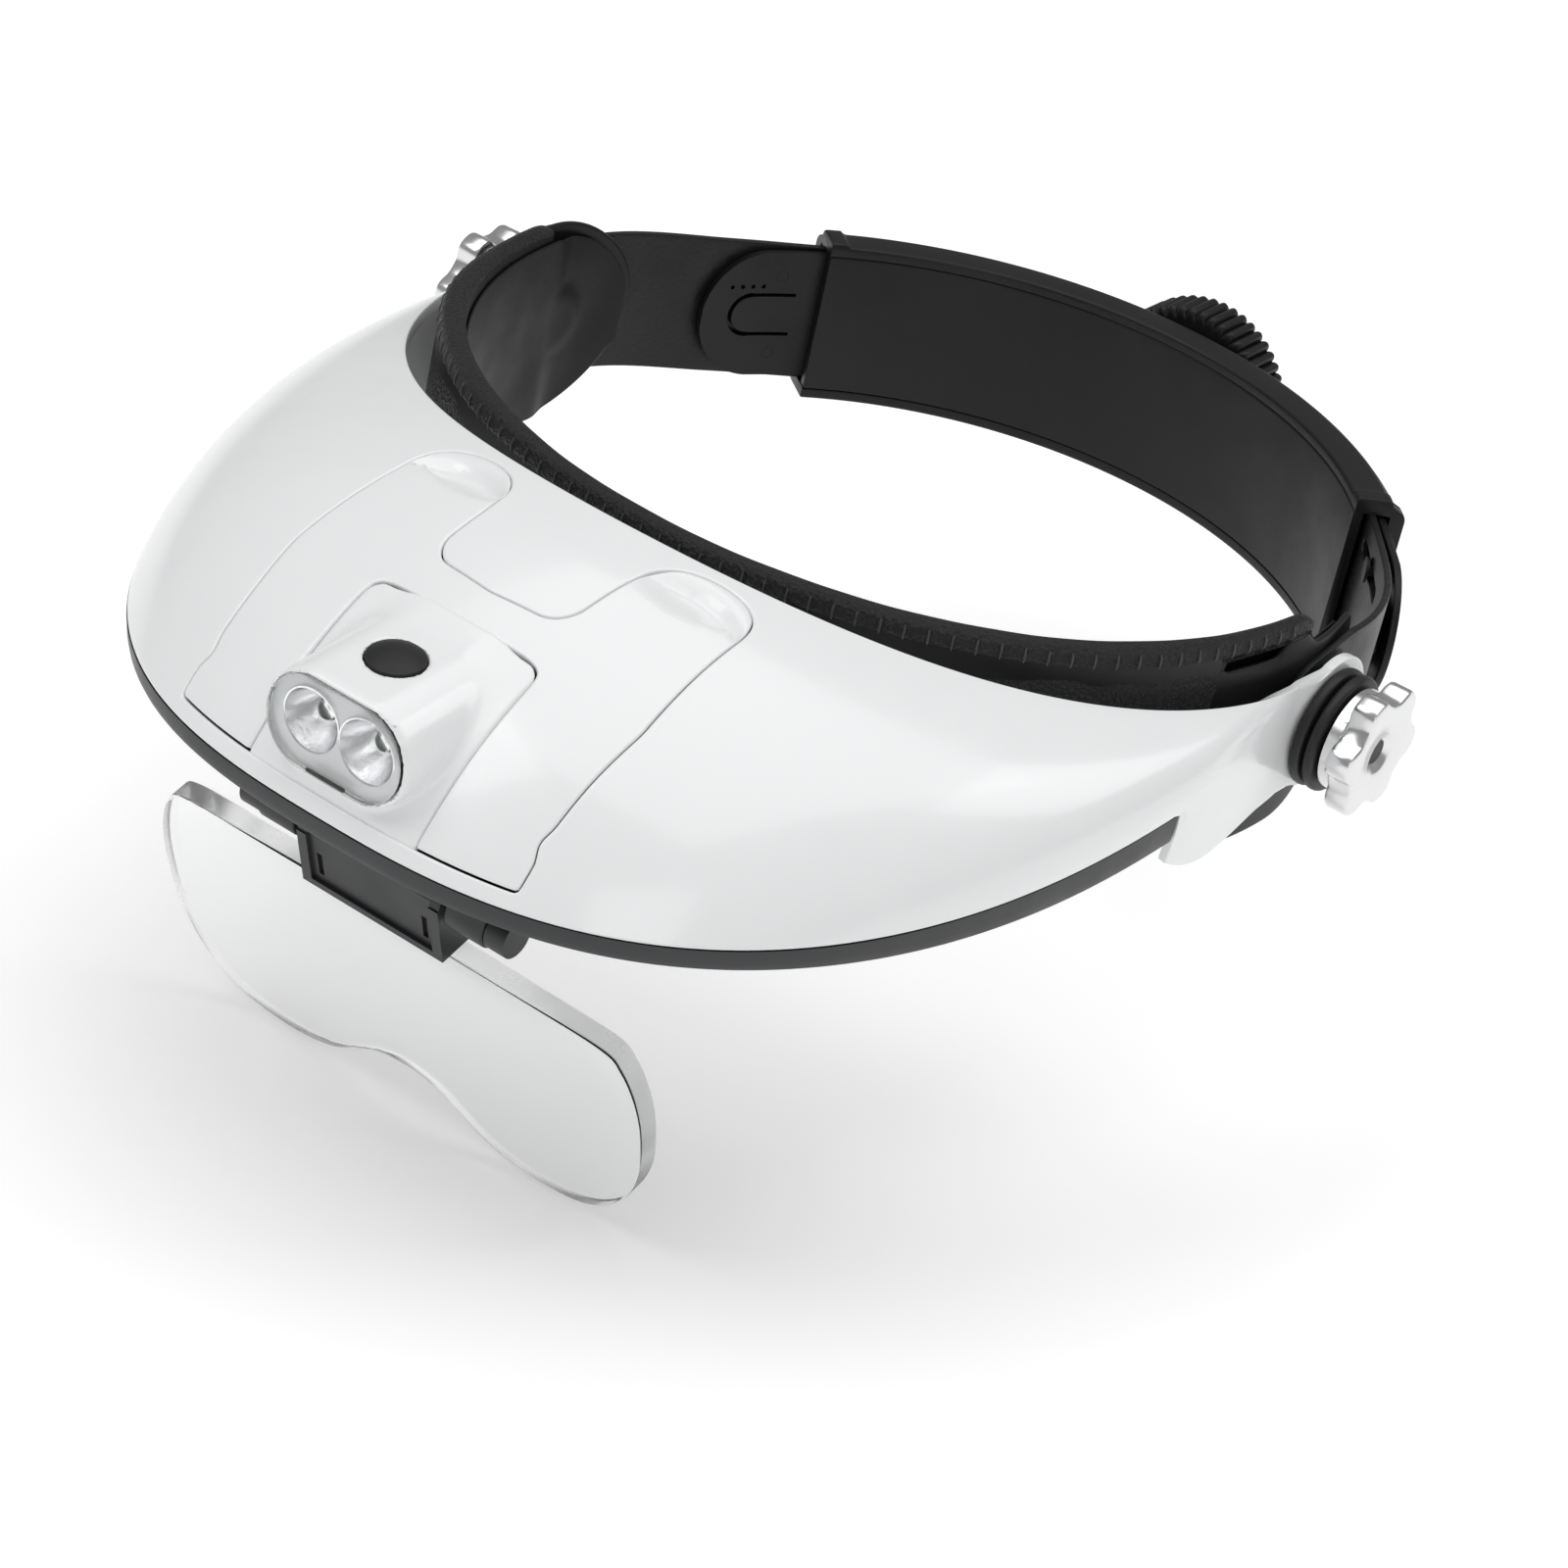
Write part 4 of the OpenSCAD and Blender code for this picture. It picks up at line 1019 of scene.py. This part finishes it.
make("sweatband_stitches", *stitches(), "harness", thread, "sweatband", swap=False)

# front band with its leaf-shaped temple plates
table_a = np.arange(-23, 203.01, 0.25)
table_xy = band_xy(table_a)
table_s = lengths(table_xy)


def leaf_point(q):
    a = np.interp(q[:, 0], table_s, table_a)
    return band_point(a, pad_t(a) + 0.15 + 1.2, q[:, 1])


def leaf_heights(s, side):
    """Top and bottom of the temple plate at s along the band; the right plate stays below its strap's edge."""
    a = float(np.interp(s, table_s, table_a))
    y = float(band_xy(a)[1])
    half = math.sqrt(max(0.0, 24.2 ** 2 - (y + 3) ** 2)) if y > -3 else 24.2
    notch = 5.6 * float(smooth((y + 31.5) / 3.5) * smooth((-9 - y) / 6))
    top = 1 + 0.85 * half if y > -3 else float(band_rim(a)) - 0.8 - notch
    if side > 0 and y > -12:
        top = min(top, 19.8 - 3.8 * float(smooth((y + 7) / 6)))
    return top, 1 - half if y > -3 else 1 - 24.2 + 22 * float(smooth((-13 - y) / 55))


def leaf_outline():
    rear = np.interp(-18.6, table_a, table_s)
    front = np.interp(90, table_a, table_s)
    left, right = (np.array([(s, *leaf_heights(s, side)) for s in np.arange(rear, front, 0.9)]) for side in (-1, 1))
    total = table_s[-1]
    top = np.vstack([left[:, :2], right[::-1, :2] * [-1, 1] + [total, 0]])
    low = np.vstack([left[:, ::2], right[::-1, ::2] * [-1, 1] + [total, 0]])
    loop = np.vstack([low, top[::-1]])
    return resample(loop, 1.0)


def lining_outline(side):
    """The cloth on the inside of one temple plate, a little smaller than the plate."""
    rear, front = np.interp(-18.3, table_a, table_s), np.interp(38, table_a, table_s)
    rows = np.array([(s, *leaf_heights(s, side)) for s in np.arange(rear, front, 0.9)])
    ahead = np.interp(rows[:, 0], table_s, band_xy(table_a)[:, 1]) < -3
    rows[:, 1] = np.where(ahead, np.minimum(rows[:, 1] + 9, 21.6), rows[:, 1] - 0.4)
    rows[:, 2] = np.where(rows[:, 2] < -23, rows[:, 2], np.minimum(rows[:, 2], -10))
    loop = offset_loop(resample(np.vstack([rows[:, ::2], rows[::-1, :2]]), 1.4), 1.9)
    return resample(loop * [-side, 1] + ([table_s[-1], 0] if side > 0 else [0, 0]), 1.2)


def lining_point(q):
    a = np.interp(q[:, 0], table_s, table_a)
    s = np.minimum(q[:, 0], total_s - q[:, 0])
    far = np.hypot(s - pivot_s, q[:, 1])
    fold = 0.2 * (1 + np.sin((s + 0.3 * q[:, 1]) / 3.3)) * smooth((far - 4) / 8) * smooth((22 - far) / 8)
    near = np.minimum(a, 180 - a)
    inward = np.maximum(1.1 * smooth((9.5 - far) / 4.5), 1.25 * smooth((near + 4) / 5))
    return band_point(a, 0.45 - inward - fold, q[:, 1])


total_s = table_s[-1]
pivot_s = float(np.interp(0, -table_xy[:len(table_a) // 2, 1], table_s[:len(table_a) // 2]))


make("temple_band", *cut_sheet([leaf_outline(), circle(pivot_s, 0, 2.7), circle(total_s - pivot_s, 0, 2.7)],
     with_normals(leaf_point), 1.2, 2.0, 0.5, 0.5), "harness", black, "front_band")


for side, word in ((-1, "left"), (1, "right")):
    make(f"temple_lining_{word}", *cut_sheet([lining_outline(side)], with_normals(lining_point), 0.45, 1.6, 0.2, 0.2),
         "harness", lining, "sweatband", swap=False)


# ---------------------------------------------------------------- side straps
RING_Y, HOUSING_MID, RACK_MID = 9.2, -6.8, -6.4


def strap_r(b, r, sweep):
    return r + (93.78 - r) * smooth((b - sweep) / (88 - sweep))


def strap(side, r, sweep, name, node):
    bs = np.arange(43.5, 88.51, 0.5)
    rs = strap_r(bs, r, sweep)
    path = np.stack([rs * sind(bs), RING_Y + rs * cosd(bs)], 1)
    ys = np.arange(path[-1, 1] - 1.0, -14.1, -1.0)
    path = np.vstack([path, np.stack([np.full(len(ys), 93.7), ys], 1)])
    s = lengths(path)
    middle = HOUSING_MID + 6.4 * smooth((bs - 50) / 46)
    eye = float(np.interp(0, -path[:, 1], s))

    def point(q):
        x, y = np.interp(q[:, 0], s, path[:, 0]), np.interp(q[:, 0], s, path[:, 1])
        return np.column_stack([side * x, y, q[:, 1]])

    def surface(q):
        e = 1.2
        mid = point(q)
        d = point(q + [e, 0]) - point(q - [e, 0])
        out = unit(np.column_stack([-d[:, 1], d[:, 0], np.zeros(len(q))])) * side
        out = np.where((out * (mid - [0, RING_Y, 0])).sum(1)[:, None] < 0, -out, out)
        return mid + 0.7 * out, out
    bend = s[:len(bs)]
    top = [(v, m + 15.5) for v, m in zip(bend[::3], middle[::3])]
    low = [(v, m - 15.5) for v, m in zip(bend[::3], middle[::3])]
    loop = resample(np.vstack([low, arc(eye, 0, 12.5, np.arange(-78, 79, 6)), top[::-1]]), 1.0)
    loops = [loop, circle(eye, 0, 2.7)]
    for z in (RACK_MID - 9, RACK_MID + 9):
        s0, s1 = (np.interp(v, bs, bend) for v in (49.4, 64.6))
        loops.append(rounded_path([(s0, z - 1.4), (s1, z - 1.4), (s1, z + 1.4), (s0, z + 1.4)], 1.3, 0.7))
    make(name, *cut_sheet(loops, surface, 1.4, 1.8, 0.35, 0.35), "harness", strap_black, node)


strap(1, 88.6, 53, "side_strap_right", "right_strap")
strap(-1, 90.1, 65, "side_strap_left", "left_strap")


# ---------------------------------------------------------------- rear housing and size wheel
def arc_loft(profile, b0, b1, change=None):
    """Closed profile in (r, z) swept round the ring from b0 to b1 degrees; change(b, profile) may alter it."""
    angles = np.unique(np.concatenate([np.arange(b0, b1, 1.0), [b1], [b0 + 0.12, b0 + 0.4, b1 - 0.12, b1 - 0.4],
                                       [b0 + 2.2, b0 + 2.5, b1 - 2.2, b1 - 2.5]]))
    rings = []
    for b in angles:
        q = profile if change is None else change(b, profile)
        near = min(b - b0, b1 - b)
        shrink = 0.35 * (1 - math.sqrt(max(0.0, 1 - (1 - min(near, 0.4) / 0.4) ** 2)))
        centre = q.mean(0)
        q = q - unit(q - centre) * shrink
        rings.append(np.column_stack([q[:, 0] * sind(b), RING_Y + q[:, 0] * cosd(b), q[:, 1]]))
    return oriented(*rings_mesh(rings))


R0, R1, Z0, Z1 = 84.7, 94.5, -24.8, 11.2
outer_profile = profile_round([
    (R0 + 2.15, Z1 - 2.25), (R0, Z1 - 2.25), (R0, Z1), (R1 - 2.6, Z1), (R1, Z1 - 2.6), (R1, Z0 + 1.6),
    (R1 - 1.6, Z0), (R0, Z0), (R0, Z0 + 2.25), (R0 + 2.15, Z0 + 2.25), (R1 - 2.1, Z0 + 2.25), (R1 - 2.1, Z1 - 2.25)],
    [0.1, 0.3, 0.8, 0.9, 0.9, 1, 1, 0.8, 0.3, 0.1, 0.3, 0.3])


def flange(b, profile):
    near = min(b + 51.3, 48.9 - b)
    grow = float(smooth((2.8 - near) / 0.7))
    q = profile.copy()
    q[:, 0] += np.where(q[:, 0] > R1 - 1.9, 1.05 * grow, 0)
    q[:, 1] += np.where(q[:, 1] > Z1 - 0.5, 0.8 * grow, 0)
    return q


collar = spin([(3.2, 0), (9.0, 0), (9.0, 1.2), (8.6, 1.6), (3.2, 1.6)], (0, RING_Y + R1 - 0.5, HOUSING_MID),
              (0, 1, 0))
make("rear_housing", *merge([arc_loft(outer_profile, -51.3, 48.9, change=flange), collar]), "harness", black,
     "housing_outer", sharp=40)
inner_profile = profile_round([(R0, Z0 + 2.35), (R0 + 2.1, Z0 + 2.35), (R0 + 2.1, Z1 - 2.35), (R0, Z1 - 2.35)],
                              [0.5, 0.2, 0.2, 0.5])
make("rear_lining", *arc_loft(inner_profile, -51.2, 48.8), "harness", black, "housing_inner", sharp=40)


def ribbed(profile, axis_y, z, ribs, depth, from_r):
    """A wheel about Y whose rim beyond from_r carries rounded ribs."""
    def ring(a):
        groove = depth * (1 - abs(math.cos(ribs * a / 2)) ** 0.7)
        radii = [r - groove * min(1, max(0, (r - from_r) / 0.8)) for r, y in profile]
        return [(r * math.cos(a), axis_y + y, z + r * math.sin(a)) for r, (_, y) in zip(radii, profile)]
    return revolve(ribs * 10, ring)


wheel = profile_round([(1.7, 2.5), (1.7, 8.1), (4.2, 8.1), (4.2, 11), (15.6, 11), (16.2, 10.4), (17.2, 10.4),
                       (18.2, 11), (20.25, 10.2), (20.25, 0.5), (18.6, 0), (9.45, 0), (9.45, 2.5)],
                      [0.1, 0.2, 0.2, 0.4, 0.4, 0.3, 0.3, 0.6, 1.2, 0.8, 0.4, 0.3, 0.2], 3)
make("size_wheel", *ribbed(wheel, 105.1, HOUSING_MID, 48, 1.3, 17.5), "size_knob_body", black, "size_knob",
     sharp=50)


# right rack: its free end springs a little away from the ring
def right_rack():
    scale = 90.8 * PI / 180

    def at(b, z):
        return b * scale, z
    outline = [at(-22, HOUSING_MID - 10.8), at(42, HOUSING_MID - 10.8), at(42, RACK_MID - 14.4)]
    outline += [*arc(59.1 * scale, RACK_MID, 14.4, np.arange(-84, 85, 6))]
    outline += [at(42, RACK_MID + 14.4), at(42, HOUSING_MID + 10.8), at(-22, HOUSING_MID + 10.8)]
    window = [at(17, HOUSING_MID + 7.4), at(-17, HOUSING_MID + 7.4), at(-17, HOUSING_MID - 4)]
    for i in range(-8, 9):
        mid = i * PI
        window += [(mid - 1.07, HOUSING_MID - 4), (mid - 0.62, HOUSING_MID - 6.15), (mid + 0.62, HOUSING_MID - 6.15),
                   (mid + 1.07, HOUSING_MID - 4)]
    window.append(at(17, HOUSING_MID - 4))
    outer, inner = (arc(61 * scale, RACK_MID, r, np.arange(-90, 91, 15)) for r in (5, 4.2))
    latch = [at(54.5, RACK_MID - 5), *outer, at(54.5, RACK_MID + 5)]
    latch += [at(54.5, RACK_MID + 4.2), *inner[::-1], at(54.5, RACK_MID - 4.2)]
    loops = [resample(np.array(outline), 0.9), resample(np.array(window), 0.45), resample(np.array(latch), 0.5)]
    loops += [circle(b * scale, RACK_MID + 6.6, 0.5, 10) for b in (59.6, 61.2, 62.8, 64.4)]
    loops += [circle(57 * scale, RACK_MID + z, 1.25, 16) for z in (-9, 9)]

    def point(q):
        b = q[:, 0] / scale
        r = 91.6 + 4.2 * np.maximum(0, (b - 50.5) / 18) ** 1.8
        return np.column_stack([r * sind(b), RING_Y + r * cosd(b), q[:, 1]])
    return cut_sheet(loops, with_normals(point), 1.6, 1.8, 0.3, 0.3)


make("rack_right", *right_rack(), "right_rack_body", black, "right_rack")


# ---------------------------------------------------------------- temple hardware
def washer_stack(side):
    def disc(x0, x1, r, edge):
        profile = profile_round([(2.65, x0), (r, x0), (r, x1), (2.65, x1)], [0.1, edge, edge, 0.1], 5)
        return spin(profile, (0, 0, 0), (side, 0, 0), steps=72)
    return merge([disc(98.05, 100.35, 12.0, edge=1.0), disc(100.25, 101.1, 9.6, edge=0.1),
                  disc(101.0, 103.1, 11.8, edge=0.9)])


LOBES = 6


def star(side):
    """A star knob; profile rows are radius, x and the share of the lobes' radius that replaces the first."""
    profile = [(2.56, 103.3, 0), (9.6, 103.3, 0), (10.2, 103.8, 0), (10.2, 106.0, 0), (0, 106.1, 0.94),
               (0, 106.4, 0.985), (0, 106.9, 1.0), (0, 110.4, 1.0), (0, 110.9, 0.985), (0, 111.15, 0.95),
               (0, 111.25, 0.9), (8.2, 111.25, 0), (7.4, 111.05, 0), (4.7, 111.05, 0), (4.1, 110.7, 0),
               (3.0, 109.8, 0), (2.56, 109.4, 0)]

    def ring(a):
        lobe = 11.85 + 1.35 * math.tanh(1.3 * math.cos(LOBES * (a + 0.07))) / math.tanh(1.3)
        radii = [lobe * share if share else r for r, x, share in profile]
        return [(side * x, r * math.cos(a), r * math.sin(a)) for r, (_, x, _) in zip(radii, profile)]
    return revolve(LOBES * 40, ring)


for side, word in ((-1, "left"), (1, "right")):
    make(f"grip_washers_{word}", *washer_stack(side), "harness", rubber, f"{word}_friction_washers", sharp=50)
    make(f"star_knob_{word}", *star(side), f"{word}_star", silver, f"{word}_star_knob")


# ---------------------------------------------------------------- clip hinge and lens
lean = math.radians(20)


def at_hinge(q):
    """(x, y, z) drawn upright about the clip's hinge, leant back into place."""
    x, y, z = q.T
    return np.column_stack([x, HINGE_Y + y * math.cos(lean) - z * math.sin(lean),
                            HINGE_Z + y * math.sin(lean) + z * math.cos(lean)])


lens_half = np.array([(0, -14.5), (14, -14.5), (30, -14.7), (49, -15.3), (53.5, -18.5), (56.2, -25.5), (57, -34.5),
                      (55.5, -46.5), (50.5, -57), (42, -64), (30, -66), (20, -64.4), (12.5, -60), (7, -56.8),
                      (0, -55.6)])
lens_loop = catmull(np.vstack([lens_half, lens_half[-2:0:-1] * [-1, 1]]), 1.0)


def lens_crown(q):
    d = edge_distance([lens_loop], q)
    return 1.5 * np.clip(1 - (q[:, 0] / 60) ** 2 - ((q[:, 1] + 40) / 34) ** 2, 0, 1) * smooth(d / 3)


def lens_surface(q):
    crown = lens_crown(q)
    p = np.column_stack([q[:, 0], -0.9 - crown, q[:, 1]])
    ahead = at_hinge(np.array([[0, -1.0, 0]])) - at_hinge(np.array([[0, 0, 0.0]]))
    return at_hinge(p), np.tile(ahead, (len(q), 1))


tab = prism(round_rect(25, 9.4, 1.0), lambda q: at_hinge(np.column_stack(
    [q[:, 0], -2.1 + q[:, 2], q[:, 1] - 9.3])), 3.2, 0.3)
lens = make("lens_clear", *cut_sheet([lens_loop], lens_surface, lambda q: 4.5 + lens_crown(q), 2.2, 0.45, 0.45),
            "lens", acrylic, "lens_plate", sharp=50)
lens.data.materials.append(lens_edge)
facing = Vector((0, math.cos(lean), math.sin(lean)))
for poly in lens.data.polygons:
    poly.material_index = 1 if abs(poly.normal.dot(facing)) < 0.6 else 0
make("lens_tab", *tab, "lens", acrylic, "lens_plate", swap=False, sharp=50)

# ---------------------------------------------------------------- CAD nodes that stay, with edges eased
kept = {
    "left_rack": black, "left_rivets": black, "right_rivets": black, "housing_screws": steel,
    "pivot_bolts": black, "strap_washers": rubber, "pinion": nylon, "knob_spring": steel, "knob_screw": steel,
    "tray_screws": steel, "circuit_board": laminate, "button_switch": tray_grey, "battery_tray": tray_grey,
    "battery_1": cell_wrap, "battery_2": cell_wrap, "battery_3": cell_wrap, "battery_contacts": steel,
    "contact_springs": steel, "hinge_pin": tray_grey, "lens_clip": tray_grey, "clip_spring": steel}
eased = {"left_rack": 0.3, "lens_clip": 0.35, "hinge_pin": 0.4, "battery_tray": 0.3}
for node, mat in kept.items():
    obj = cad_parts[node]
    obj.data.materials.clear()
    obj.data.materials.append(mat)
    if node in eased:
        mod = obj.modifiers.new("ease", "BEVEL")
        mod.width = eased[node] * MM
        mod.segments = 2
        mod.limit_method = "ANGLE"
        mod.angle_limit = math.radians(40)
        mod.harden_normals = False


# ---------------------------------------------------------------- floor and light
def stage():
    mesh = bpy.data.meshes.new("floor")
    s = 4.0
    mesh.from_pydata([(-s, -s, 0), (s, -s, 0), (s, s, 0), (-s, s, 0)], [], [(0, 1, 2, 3)])
    floor = bpy.data.objects.new("floor", mesh)
    floor.location = (0, 0, cad_box[0][2] - 0.001)
    bpy.context.scene.collection.objects.link(floor)
    mat = material("floor_pale", (0.9, 0.9, 0.9), (0.92, 0.92, 0.92), (0.6, 0.7), 3, 5)
    shader = mat.node_tree.nodes["Principled BSDF"]
    shader.inputs["Emission Color"].default_value = (1, 1, 1, 1)
    shader.inputs["Emission Strength"].default_value = 0.3
    mesh.materials.append(mat)


def softbox(name, at, look, size, power):
    data = bpy.data.lights.new(name, "AREA")
    data.shape = "RECTANGLE"
    data.size, data.size_y = size
    data.energy = power
    obj = bpy.data.objects.new(name, data)
    obj.location = at
    obj.rotation_euler = (Vector(look) - Vector(at)).to_track_quat("-Z", "Y").to_euler()
    bpy.context.scene.collection.objects.link(obj)


stage()
world = bpy.data.worlds.new("world")
world.use_nodes = True
world.node_tree.nodes["Background"].inputs["Color"].default_value = (1, 1, 1, 1)
world.node_tree.nodes["Background"].inputs["Strength"].default_value = 0.3
bpy.context.scene.world = world
bpy.context.scene.view_settings.view_transform = "Standard"
softbox("overhead", (0, 0.1, 1.7), (0, 0, 0), (2.0, 2.0), 17)
softbox("key", (-0.7, -0.9, 1.3), (0, -0.03, 0), (0.9, 0.9), 6)
softbox("rim", (0.9, 0.8, 1.1), (0, 0, 0), (0.7, 0.7), 3.5)
softbox("front", (0.9, -1.2, 0.6), (0, -0.05, -0.02), (0.6, 0.9), 2.5)
